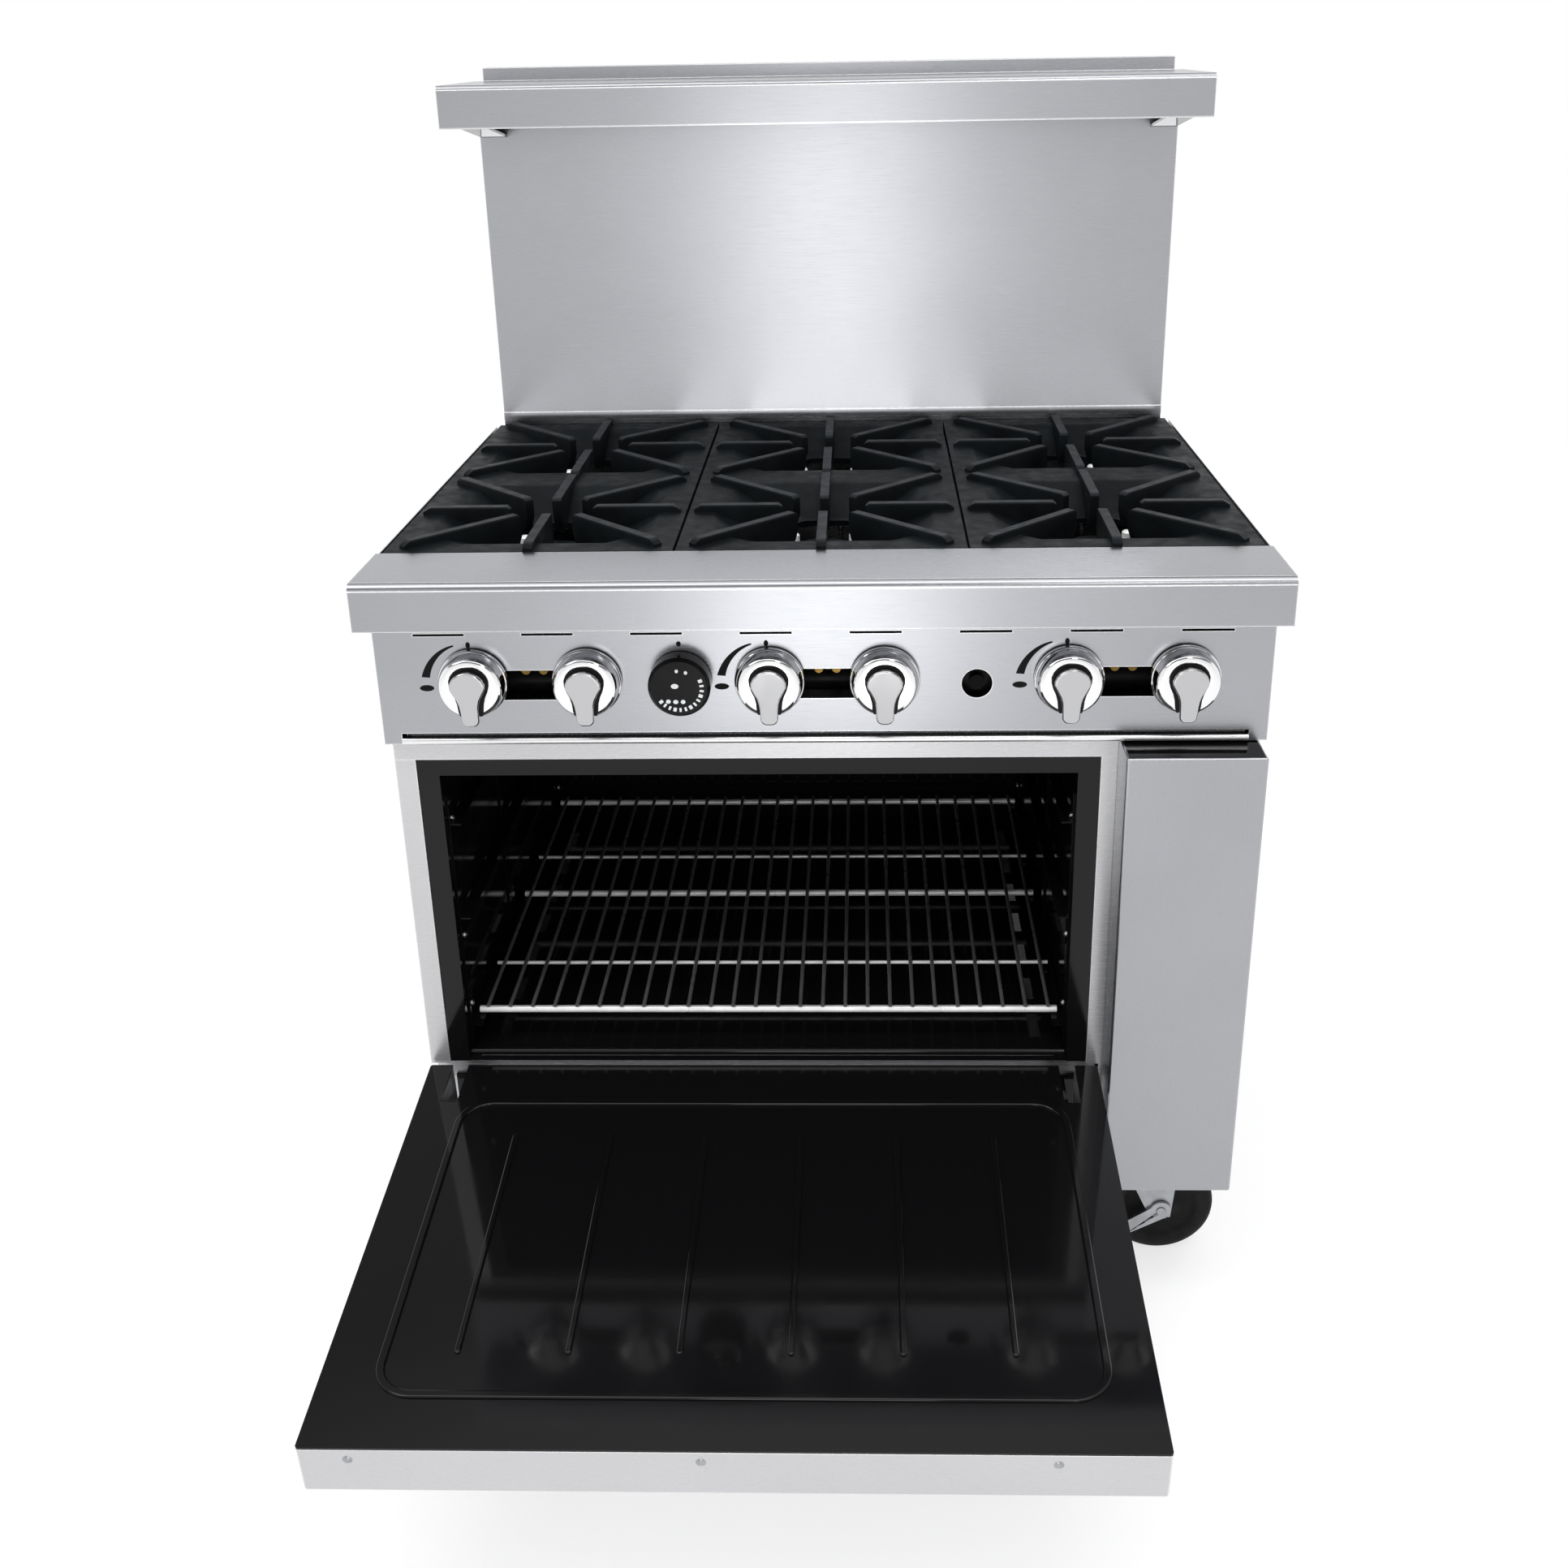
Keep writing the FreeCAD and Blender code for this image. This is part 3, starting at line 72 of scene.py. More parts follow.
CAMERA_PLACE = Vector((0.0438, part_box("front_ledge")[0].y - 1.4785, 1.3636))
CAMERA_PITCH = 21.3      # degrees below level
CAMERA_YAW = 1.82        # degrees to the left
CAMERA_ROLL = -1.03
CAMERA_LENS = 37.26      # millimetres
SENSOR_WIDTH = 36        # millimetres
CAMERA_SHIFT = (-0.0208, -0.0725)
FLOOR_RADIUS = 40
WORLD_STRENGTH = 1.55

# What the parts mirror in front of them and behind them: (upward part of the direction, brightness).
FRONT_GRADE = ((0.0, 0.62), (0.30, 0.60), (0.42, 0.10), (0.62, 0.10), (0.74, 0.9))
BACK_GRADE = ((0.0, 0.70), (0.40, 0.68), (0.49, 0.24), (0.78, 0.20), (0.9, 0.9))

# How one turns into the other: (backward part of the direction plus BACK_SHIFT, share of the back).
BACK_SHIFT = 0.6
BACK_SHARE = ((0.15, 0.0), (0.5, 1.0))


def make_camera():
    pitch, yaw, roll = (math.radians(a) for a in (CAMERA_PITCH, CAMERA_YAW, CAMERA_ROLL))
    level = Vector((-math.sin(yaw), math.cos(yaw), 0))
    ahead = level * math.cos(pitch) - Vector((0, 0, math.sin(pitch)))
    right = Vector((math.cos(yaw), math.sin(yaw), 0))
    up = right.cross(ahead)
    rolled_right = right * math.cos(roll) + up * math.sin(roll)
    rolled_up = up * math.cos(roll) - right * math.sin(roll)
    data = bpy.data.cameras.new("camera")
    data.sensor_width = SENSOR_WIDTH
    data.lens = CAMERA_LENS
    data.shift_x, data.shift_y = CAMERA_SHIFT
    camera = bpy.data.objects.new("camera", data)
    turn = Matrix((rolled_right, rolled_up, -ahead)).transposed().to_4x4()
    camera.matrix_world = Matrix.Translation(CAMERA_PLACE) @ turn
    bpy.context.scene.collection.objects.link(camera)
    bpy.context.scene.camera = camera


def make_floor():
    mesh = bpy.data.meshes.new("floor")
    shape = bmesh.new()
    bmesh.ops.create_circle(shape, cap_ends=True, segments=96, radius=FLOOR_RADIUS)
    shape.to_mesh(mesh)
    shape.free()
    floor = bpy.data.objects.new("floor", mesh)
    floor.location.z = cad_box[0].z
    bpy.context.scene.collection.objects.link(floor)
    mesh.materials.append(floor_material())


def make_world():
    """A white backdrop, and what the parts mirror: a pale studio with darker stretches higher up."""
    world = bpy.data.worlds.new("studio")
    world.use_nodes = True
    nodes, links = world.node_tree.nodes, world.node_tree.links
    nodes.clear()
    where = nodes.new("ShaderNodeTexCoord")
    split = nodes.new("ShaderNodeSeparateXYZ")
    links.new(where.outputs["Generated"], split.inputs[0])

    def graded(socket, stops):
        ramp = nodes.new("ShaderNodeValToRGB")
        steps = ramp.color_ramp.elements
        while len(steps) < len(stops):
            steps.new(1.0)
        for step, (position, level) in zip(steps, stops):
            step.position = position
            step.color = (level, level, level, 1)
        links.new(socket, ramp.inputs["Fac"])
        return ramp.outputs["Color"]

    front = graded(split.outputs["Z"], FRONT_GRADE)
    back = graded(split.outputs["Z"], BACK_GRADE)
    facing = nodes.new("ShaderNodeMath")
    facing.operation = "ADD"
    facing.inputs[1].default_value = BACK_SHIFT
    links.new(split.outputs["Y"], facing.inputs[0])
    blend = graded(facing.outputs[0], BACK_SHARE)
    mix = nodes.new("ShaderNodeMixRGB")
    links.new(blend, mix.inputs["Fac"])
    links.new(front, mix.inputs["Color1"])
    links.new(back, mix.inputs["Color2"])
    light = nodes.new("ShaderNodeBackground")
    light.inputs["Strength"].default_value = WORLD_STRENGTH
    links.new(mix.outputs[0], light.inputs["Color"])
    backdrop = nodes.new("ShaderNodeBackground")
    backdrop.inputs["Color"].default_value = (1, 1, 1, 1)
    seen = nodes.new("ShaderNodeLightPath").outputs["Is Camera Ray"]
    choice = nodes.new("ShaderNodeMixShader")
    links.new(seen, choice.inputs[0])
    links.new(light.outputs[0], choice.inputs[1])
    links.new(backdrop.outputs[0], choice.inputs[2])
    out = nodes.new("ShaderNodeOutputWorld")
    links.new(choice.outputs[0], out.inputs["Surface"])
    bpy.context.scene.world = world


def area_lamp(name, place, width, height, power):
    data = bpy.data.lights.new(name, "AREA")
    data.shape = "RECTANGLE"
    data.size = width
    data.size_y = height
    data.energy = power
    lamp = bpy.data.objects.new(name, data)
    lamp.location = place
    bpy.context.scene.collection.objects.link(lamp)
    return lamp


def softbox(name, place, target, size, power):
    """A square lamp that is turned to a target."""
    lamp = area_lamp(name, place, size, size, power)
    lamp.rotation_mode = "QUATERNION"
    lamp.rotation_quaternion = (Vector(target) - Vector(place)).to_track_quat("-Z", "Y")


def card(name, middle, turn, width, height, radiance):
    """A flat card that steel mirrors and the camera doesn't see. Turn is about X, in degrees."""
    lamp = area_lamp(name, middle, width, height, radiance * math.pi * width * height)
    lamp.rotation_euler = (math.radians(turn), 0, 0)
    lamp.visible_camera = False


def make_lights():
    """A soft key and rim, and cards that give flat steel its even tone and its bright middle."""
    softbox("key", (-2.2, -1.6, 3.2), (0, 0, 0.7), 1.4, 26)
    softbox("rim", (2.8, 2.4, 2.6), (0, 0.2, 0.8), 1.6, 20)
    softbox("glint", (0.9, -3.0, 2.7), (0.1, 0, 0.8), 0.5, 7)
    low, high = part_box("grate_center")
    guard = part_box("guard_front")[0].y
    middle = (low.y + guard) / 2
    deep = guard - low.y - 30 * MM
    card("front_strip", (-0.06, -2.75, 0.75), 90, 0.5, 1.3, 2.5)
    card("front_floor", (-0.06, -2.35, 0.01), 180, 0.5, 1.1, 2.6)
    card("over_grates", (0, middle, high.z + 2 * MM), 180, 0.88, deep, 1.05)
    card("over_grates_wide", (0, middle, high.z + 3 * MM), 180, 0.42, deep, 0.5)
    card("over_grates_narrow", (0, middle, high.z + 4 * MM), 180, 0.22, deep, 0.5)
    card("over_ledge", (0, guard - 12 * MM, 1.17), -90, 0.88, 0.2, 1.1)
    card("overhead", (0, -0.9, 3.0), 0, 3.0, 0.6, 3.2)


# ---- Materials ----------------------------------------------------------------------------------

class Paint:
    """A material being built round one shader, with short calls for the usual nodes."""

    def __init__(self, name, color, metallic=0.0, roughness=0.5, specular=0.5):
        self.material = bpy.data.materials.new(name)
        self.material.use_nodes = True
        self.nodes = self.material.node_tree.nodes
        self.links = self.material.node_tree.links
        self.shader = self.nodes["Principled BSDF"]
        self.shader.inputs["Base Color"].default_value = (*color, 1)
        self.shader.inputs["Metallic"].default_value = metallic
        self.shader.inputs["Roughness"].default_value = roughness
        self.shader.inputs["Specular IOR Level"].default_value = specular
        self.place = self.nodes.new("ShaderNodeTexCoord").outputs["Object"]
        self.color = color
        self.normal = None

    def noise(self, scale, stretch=(1, 1, 1), detail=3.0, rough=0.5):
        """Noise with about scale lumps a metre, stretched by dividing each axis."""
        mapping = self.nodes.new("ShaderNodeMapping")
        mapping.inputs["Scale"].default_value = [scale / s for s in stretch]
        texture = self.nodes.new("ShaderNodeTexNoise")
        texture.inputs["Scale"].default_value = 1.0
        texture.inputs["Detail"].default_value = detail
        texture.inputs["Roughness"].default_value = rough
        self.links.new(self.place, mapping.inputs["Vector"])
        self.links.new(mapping.outputs[0], texture.inputs["Vector"])
        return texture.outputs["Fac"]

    def ramp(self, value, low, high, start=0.3, end=0.7):
        """Turns a 0 to 1 value into a colour or a grey between low and high."""
        node = self.nodes.new("ShaderNodeValToRGB")
        for element, position, level in zip(node.color_ramp.elements, (start, end), (low, high)):
            element.position = position
            element.color = (*level, 1) if isinstance(level, tuple) else (level, level, level, 1)
        self.links.new(value, node.inputs["Fac"])
        return node.outputs["Color"]

    def roughness(self, value, low, high, start=0.3, end=0.7):
        self.links.new(self.ramp(value, low, high, start, end), self.shader.inputs["Roughness"])

    def tint(self, value, low, high, start=0.3, end=0.7):
        """Varies the colour between low and high times the base colour."""
        dark = tuple(c * low for c in self.color)
        light = tuple(min(1.0, c * high) for c in self.color)
        self.links.new(self.ramp(value, dark, light, start, end), self.shader.inputs["Base Color"])

    def edge_highlight(self, radius, color):
        """Paints a highlight: a light band along sharp edges, radius wide in millimetres."""
        bevel = self.nodes.new("ShaderNodeBevel")
        bevel.samples = 6
        bevel.inputs["Radius"].default_value = radius * MM
        flat = self.nodes.new("ShaderNodeNewGeometry").outputs["True Normal"]
        match = self.nodes.new("ShaderNodeVectorMath")
        match.operation = "DOT_PRODUCT"
        self.links.new(bevel.outputs[0], match.inputs[0])
        self.links.new(flat, match.inputs[1])
        self.overlay(self.ramp(match.outputs["Value"], 1.0, 0.0, 0.93, 0.99), color)

    def overlay(self, mask, color):
        """Lays a colour over the base colour where the mask is 1."""
        mix = self.nodes.new("ShaderNodeMixRGB")
        self.links.new(mask, mix.inputs["Fac"])
        base = self.shader.inputs["Base Color"]
        self.links.new(base.links[0].from_socket, mix.inputs["Color1"])
        mix.inputs["Color2"].default_value = (*color, 1)
        self.links.new(mix.outputs[0], base)

    def height(self, low, high):
        """0 at one height in metres, 1 at the other."""
        split = self.nodes.new("ShaderNodeSeparateXYZ")
        self.links.new(self.place, split.inputs[0])
        share = self.nodes.new("ShaderNodeMapRange")
        share.inputs["From Min"].default_value = low
        share.inputs["From Max"].default_value = high
        self.links.new(split.outputs["Z"], share.inputs["Value"])
        return share.outputs[0]

    def rounded(self, radius):
        """Softens the shading of sharp edges by a radius in millimetres."""
        node = self.nodes.new("ShaderNodeBevel")
        node.samples = 4
        node.inputs["Radius"].default_value = radius * MM
        self.normal = node.outputs[0]
        self.links.new(self.normal, self.shader.inputs["Normal"])

    def bump(self, value, strength, distance):
        node = self.nodes.new("ShaderNodeBump")
        node.inputs["Strength"].default_value = strength
        node.inputs["Distance"].default_value = distance
        self.links.new(value, node.inputs["Height"])
        if self.normal is not None:
            self.links.new(self.normal, node.inputs["Normal"])
        self.normal = node.outputs[0]
        self.links.new(self.normal, self.shader.inputs["Normal"])


def floor_material():
    paint = Paint("floor_paint", (0.40, 0.40, 0.40), roughness=0.8, specular=0.1)
    paint.shader.inputs["Emission Color"].default_value = (1, 1, 1, 1)
    paint.shader.inputs["Emission Strength"].default_value = 0.66
    paint.tint(paint.noise(1.5), 0.985, 1.0)
    return paint.material


BRUSH_LENGTH = 90        # of a brush line, in its own widths


def brushed_steel(name, grain, tint=(0.378, 0.384, 0.404), rough=(0.24, 0.28), metallic=1.0):
    """Stainless sheet with fine lines along grain, faint handling marks, slightly uneven gloss and a
    painted highlight along sharp edges.
    """
    stretch = [BRUSH_LENGTH if axis == grain else 1 for axis in "xyz"]
    paint = Paint(name, tint, metallic=metallic, roughness=rough[0])
    lines = paint.noise(2200, stretch, detail=2.0, rough=0.6)
    paint.rounded(0.9)
    paint.roughness(lines, *rough)
    paint.tint(paint.noise(7.0, detail=4.0), 0.975, 1.025)
    # A painted highlight: a light band along every sharp edge.
    paint.edge_highlight(1.8, (0.92, 0.92, 0.93))
    paint.bump(lines, 0.015, 0.00003)
    paint.bump(paint.noise(2.2, detail=1.0), 0.025, 0.002)
    return paint.material


def galvanised():
    paint = Paint("galvanised_sheet", (0.50, 0.52, 0.53), metallic=1.0, roughness=0.4)
    spangle = paint.noise(90, detail=1.0)
    paint.tint(spangle, 0.86, 1.1)
    paint.roughness(spangle, 0.34, 0.5)
    paint.bump(paint.noise(260), 0.1, 0.0002)
    return paint.material


def black_enamel(name, specular):
    """Porcelain enamel: deep gloss black, a slight waviness and a very fine orange peel."""
    paint = Paint(name, (0.0045, 0.0045, 0.005), roughness=0.07, specular=specular)
    paint.roughness(paint.noise(14, detail=4.0), 0.05, 0.10)
    paint.bump(paint.noise(420, detail=1.0), 0.05, 0.00005)
    paint.bump(paint.noise(5, detail=1.0), 0.12, 0.0015)
    return paint.material


def cast_iron():
    """Seasoned casting: dark slate with a sandy skin, a little lighter along the tops: a painted
    highlight, partly wear where pans slide.
    """
    paint = Paint("cast_iron_sand", (0.0052, 0.0068, 0.008), roughness=0.5, specular=0.08)
    sand = paint.noise(900, detail=4.0, rough=0.65)
    paint.tint(paint.noise(28, detail=5.0), 0.7, 1.5)
    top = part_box("grate_center")[1].z
    # Lighter along the top 3 mm: a painted highlight on the rib tops, partly wear from pans.
    top_highlight_and_wear = paint.height(top - 3 * MM, top - 0.5 * MM)
    paint.overlay(paint.ramp(top_highlight_and_wear, 0.0, 1.0, 0.2, 0.9), (0.022, 0.025, 0.028))
    paint.roughness(paint.noise(60, detail=4.0), 0.38, 0.58)
    paint.bump(sand, 0.35, 0.0004)
    paint.bump(paint.noise(160, detail=2.0), 0.25, 0.0005)
    return paint.material


def chrome(name="chrome_plate", rough=(0.04, 0.08), color=(0.86, 0.86, 0.87), metallic=1.0):
    paint = Paint(name, color, metallic=metallic, roughness=rough[0])
    paint.roughness(paint.noise(45, detail=5.0), *rough)
    paint.bump(paint.noise(25, detail=1.0), 0.05, 0.0004)
    return paint.material


def rack_wire():
    """Plated wire, near white and mostly diffuse: the heavy cross bars stay bright as a painted
    highlight, and the long wires on top of them are painted dark as shade, with random darker patches.
    """
    paint = Paint("chrome_wire", (0.97, 0.97, 0.97), metallic=0.2, roughness=0.3)
    low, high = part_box("oven_rack")
    # Painted shade on the long wires at the top; the cross bars below stay near white as a painted
    # highlight.
    tone = paint.ramp(paint.height(low.z, high.z), 1.0, 0.12, 0.60, 0.70)
    soot_and_shade = paint.nodes.new("ShaderNodeMixRGB")
    soot_and_shade.blend_type = "MULTIPLY"
    soot_and_shade.inputs["Fac"].default_value = 1.0
    paint.links.new(tone, soot_and_shade.inputs["Color1"])
    paint.links.new(paint.ramp(paint.noise(30, detail=4.0), 0.75, 1.0), soot_and_shade.inputs["Color2"])
    paint.links.new(soot_and_shade.outputs[0], paint.shader.inputs["Base Color"])
    paint.roughness(paint.noise(45, detail=5.0), 0.26, 0.36)
    return paint.material


def zinc():
    paint = Paint("zinc_plate", (0.40, 0.41, 0.43), metallic=1.0, roughness=0.35)
    paint.tint(paint.noise(40, detail=5.0), 0.8, 1.1)
    paint.roughness(paint.noise(70, detail=4.0), 0.25, 0.45)
    paint.bump(paint.noise(600), 0.12, 0.0002)
    return paint.material


def brass():
    # Far darker than bare brass: painted shade on the valves in the bay behind the control panel.
    paint = Paint("machined_brass_shaded", (0.16, 0.10, 0.028), metallic=1.0, roughness=0.25)
    paint.tint(paint.noise(60, detail=4.0), 0.7, 1.15)
    paint.roughness(paint.noise(900, (12, 1, 1)), 0.18, 0.36)
    return paint.material


def aluminium():
    paint = Paint("drawn_aluminium", (0.75, 0.75, 0.76), metallic=1.0, roughness=0.28)
    paint.roughness(paint.noise(500, (1, 30, 1)), 0.2, 0.36)
    paint.tint(paint.noise(30), 0.85, 1.05)
    return paint.material


def black_pipe():
    paint = Paint("black_iron_pipe", (0.007, 0.007, 0.0075), roughness=0.45, specular=0.15)
    paint.tint(paint.noise(35, detail=5.0), 0.7, 1.6)
    paint.roughness(paint.noise(80, detail=3.0), 0.35, 0.55)
    paint.bump(paint.noise(420, detail=3.0), 0.2, 0.0003)
    return paint.material


def mineral_wool():
    paint = Paint("mineral_wool_fibre", (0.62, 0.52, 0.26), roughness=0.95)
    paint.tint(paint.noise(240, (1, 9, 2), detail=6.0), 0.65, 1.25)
    paint.bump(paint.noise(700, (1, 12, 3), detail=6.0), 0.8, 0.002)
    return paint.material


def black_plastic(name, color, rough):
    paint = Paint(name, color, roughness=rough[0], specular=0.12)
    paint.tint(paint.noise(30, detail=4.0), 0.8, 1.3)
    paint.roughness(paint.noise(60, detail=4.0), *rough)
    paint.bump(paint.noise(900, detail=2.0), 0.08, 0.0001)
    return paint.material


def white_ink():
    paint = Paint("dial_white_ink", (0.78, 0.80, 0.82), roughness=0.5)
    paint.tint(paint.noise(600, detail=3.0), 0.85, 1.05)
    paint.roughness(paint.noise(300), 0.4, 0.6)
    return paint.material


def rubber():
    paint = Paint("caster_rubber", (0.0045, 0.0045, 0.0045), roughness=0.6, specular=0.15)
    paint.tint(paint.noise(40, detail=5.0), 0.7, 1.6)
    paint.roughness(paint.noise(90, detail=4.0), 0.45, 0.7)
    paint.bump(paint.noise(700, detail=3.0), 0.2, 0.0003)
    return paint.material


def dress(material, *names):
    """Gives CAD nodes a material."""
    for name in names:
        mesh = NODES[name].data
        mesh.materials.clear()
        mesh.materials.append(material)


def dress_frame():
    front_steel = brushed_steel("stainless_front", "x")
    # A lighter copy of the front steel for the door frame and door: painted light.
    lit_steel = brushed_steel("stainless_lit", "x", (0.56, 0.56, 0.572), metallic=0.7)
    dress(front_steel, "control_panel", "front_ledge", "guard_front", "high_shelf")
    dress(lit_steel, "front_frame", "door_shell")
    dress(brushed_steel("stainless_side", "z"), "left_side_panel", "right_side_panel")
    dress(brushed_steel("stainless_deep", "y"), "cooktop_frame")
    # The crumb tray in a dark copy of the steel: painted shade in the gap under the control panel.
    dress(brushed_steel("stainless_tray_shaded", "y", (0.10, 0.10, 0.105)), "crumb_tray")
    dress(galvanised(), "back_panel", "base_frame", "guard_back", "flue_duct")
    dress(black_enamel("enamel_liner", 0.30), "door_liner", "oven_deck")
    dress(black_enamel("enamel_cavity", 0.26), "oven_cavity", "hinge_brackets")
    # Dull black: painted shade on the shelf brackets under the shelf; the rack guides share it.
    dress(black_enamel("enamel_dull_shade", 0.08), "rack_guides", "shelf_brackets")
    # Near black: painted shade on the button at the back of the sight hole.
    dress(black_enamel("enamel_safety_shade", 0.05), "reset_button")
    dress(cast_iron(), "grate_left", "grate_center", "grate_right", "burner_heads", "burner_venturis")
    dress(rack_wire(), "oven_rack")
    dress(brass(), "burner_valves", "pilot_valves")
    dress(aluminium(), "pilot_tubes")
    dress(black_pipe(), "gas_manifold", "gas_inlet", "thermostat_body", "safety_valve", "oven_burner")
    dress(mineral_wool(), "oven_insulation", "door_insulation")
    dress(brushed_steel("stainless_tube", "x", rough=(0.18, 0.28)), "door_handle", "handle_brackets")
    dress(zinc(), "door_hinge_pins", "door_screws", "caster_plates", "brake_lever_1",
          "brake_lever_2", *[f"caster_fork_{n}" for n in CASTERS])
    dress(black_plastic("phenolic_black", (0.006, 0.006, 0.0066), (0.12, 0.2)), "thermostat_knob")


# ---- Mesh helpers -------------------------------------------------------------------------------

class Shape:
    """A mesh being built from turned and lofted forms, drawn in millimetres from one place."""

    def __init__(self, place):
        self.mesh = bmesh.new()
        self.place = Vector(place)

    def point(self, place):
        return self.mesh.verts.new(self.place + Vector(place) * MM)

    def turned(self, profile, axis, start=(0, 0, 0), segments=64, closed=False):
        """Spins a profile of (distance along, radius) round axis."""
        turn = Vector(axis).to_track_quat("Z", "Y")
        rings = []
        for along, radius in profile:
            count = segments if radius > 0 else 1
            ring = []
            for step in range(count):
                angle = 2 * math.pi * step / segments
                spoke = Vector((radius * math.cos(angle), radius * math.sin(angle), along))
                ring.append(self.point(Vector(start) + turn @ spoke))
            rings.append(ring)
        pairs = list(zip(rings, rings[1:]))
        if closed:
            pairs.append((rings[-1], rings[0]))
        for lower, upper in pairs:
            for step in range(segments):
                after = (step + 1) % segments
                corners = [
                    lower[step % len(lower)], lower[after % len(lower)],
                    upper[after % len(upper)], upper[step % len(upper)],
                ]
                corners = list(dict.fromkeys(corners))
                if len(corners) > 2:
                    self.mesh.faces.new(corners)

    def loft(self, rings):
        """Joins rings of equal length and caps both ends."""
        made = [[self.point(p) for p in ring] for ring in rings]
        for lower, upper in zip(made, made[1:]):
            for step in range(len(lower)):
                after = (step + 1) % len(lower)
                self.mesh.faces.new((lower[step], lower[after], upper[after], upper[step]))
        self.mesh.faces.new(reversed(made[0]))
        self.mesh.faces.new(made[-1])

    def slab(self, outline, depth):
        self.loft((outline, [Vector(p) + Vector(depth) for p in outline]))

    def piece(self, name, material, body, bevel=0.0, smooth=40):
        bmesh.ops.recalc_face_normals(self.mesh, faces=self.mesh.faces)
        mesh = bpy.data.meshes.new(name)
        self.mesh.to_mesh(mesh)
        self.mesh.free()
        mesh.materials.append(material)
        mesh.shade_smooth()
        thing = bpy.data.objects.new(name, mesh)
        bpy.context.scene.collection.objects.link(thing)
        if bevel:
            soften(thing, bevel, segments=4)
        else:
            mesh.set_sharp_from_angle(angle=math.radians(smooth))
        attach(thing, body)
        return thing


def soften(thing, width, segments=2, weld=False):
    """Rounds the sharp edges of a mesh; width is in millimetres."""
    if weld:
        thing.modifiers.new("weld", "WELD").merge_threshold = 0.02 * MM
    bevel = thing.modifiers.new("bevel", "BEVEL")
    bevel.width = width * MM
    bevel.segments = segments
    bevel.limit_method = "ANGLE"
    bevel.angle_limit = math.radians(32)
    shading = thing.modifiers.new("shading", "WEIGHTED_NORMAL")
    shading.weight = 80


# ---- Pieces -------------------------------------------------------------------------------------

# Knobs and their levers, in millimetres; the lever stands out from the knob's back face.
SKIRT_R = 35.5
LEVER_BACK = 11
LEVER_FRONT = 31
LEVER_RAKE = 0.12        # how fast the lever's lower half falls back
# The black plate behind each lever, a little wider than it: a painted shade line round the lever.
SHADE_PLATE_BACK = 18
SHADE_PLATE_DEPTH = 3.6


def knob_place(node):
    """The middle of a knob's back face."""
    low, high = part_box(node)
    return Vector(((low.x + high.x) / 2, high.y, high.z - SKIRT_R * MM))


def both_sides(sides):
    """A closed outline in X and Z from (height, half width) down its right side."""
    return [(half, z) for z, half in sides] + [(-half, z) for z, half in reversed(sides)]


def make_knobs(polished, satin_shaded, black):
    """Polished knobs: a stepped skirt, a lever that is broad at its rounded top in darker chrome, partly
    painted shade, and a black plate behind it that paints a shade line round the lever.
    """
    skirt = (
        (0, 0), (0, SKIRT_R), (4.2, SKIRT_R), (5.6, 34.9), (6.4, 33.7), (15.5, 32.6),
        (18.6, 31.4), (20.4, 29.0), (21.0, 26.0), (20.4, 20.0), (20.2, 0),
    )
    lever = (
        (21, 3), (19.5, 8), (17, 12), (13, 15.6), (8, 17.8), (3, 17.6), (-3, 14.6),
        (-9, 11.6), (-15, 9.9), (-22, 9.2), (-33, 8.8), (-36.5, 7.2), (-38.5, 4.0),
    )
    shade_plate = [(z * 1.1 + 0.4, half + (2.4 if z > 0 else 3.6)) for z, half in lever if z > -24]
    shade_plate.append((-29.0, 11.4))
    outline = both_sides(lever)
    for number in KNOBS:
        node = f"burner_knob_{number}"
        body = f"knob_{number}"
        place = knob_place(node)
        shape = Shape(place)
        shape.turned(skirt, (0, -1, 0), segments=72)
        knob = shape.piece(f"lever_knob_{number}", polished, body, bevel=0.5)
        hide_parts(node)
        shape = Shape(place)
        shape.loft((
            [(x, -LEVER_BACK, z) for x, z in outline],
            [(x, -LEVER_FRONT - min(0.0, z + 4) * LEVER_RAKE, z) for x, z in outline],
        ))
        # The lever in darker chrome than the skirt: a rougher finish, and painted shade on its face.
        shape.piece(f"knob_lever_{number}", satin_shaded, body, bevel=3.0)
        shape = Shape(place)
        # Painted shade: a black plate just behind the lever, showing as a dark outline round it.
        shape.slab([(x, -SHADE_PLATE_BACK, z) for x, z in both_sides(shade_plate)], (0, -SHADE_PLATE_DEPTH, 0))
        shape.piece(f"knob_seat_{number}", black, body, bevel=0.4)


def oval(x, z, half_x, half_z, steps=20):
    angles = [2 * math.pi * step / steps for step in range(steps)]
    return [(x + half_x * math.cos(a), 0, z + half_z * math.sin(a)) for a in angles]


# The printed arc beside a knob: angles in degrees, and radii at its broad and its thin end.
ARC_START = 175
ARC_SWEEP = 60
ARC_STEPS = 20
ARC_OUTER = (53.5, 43.0)
ARC_INNER = (45.0, 41.4)


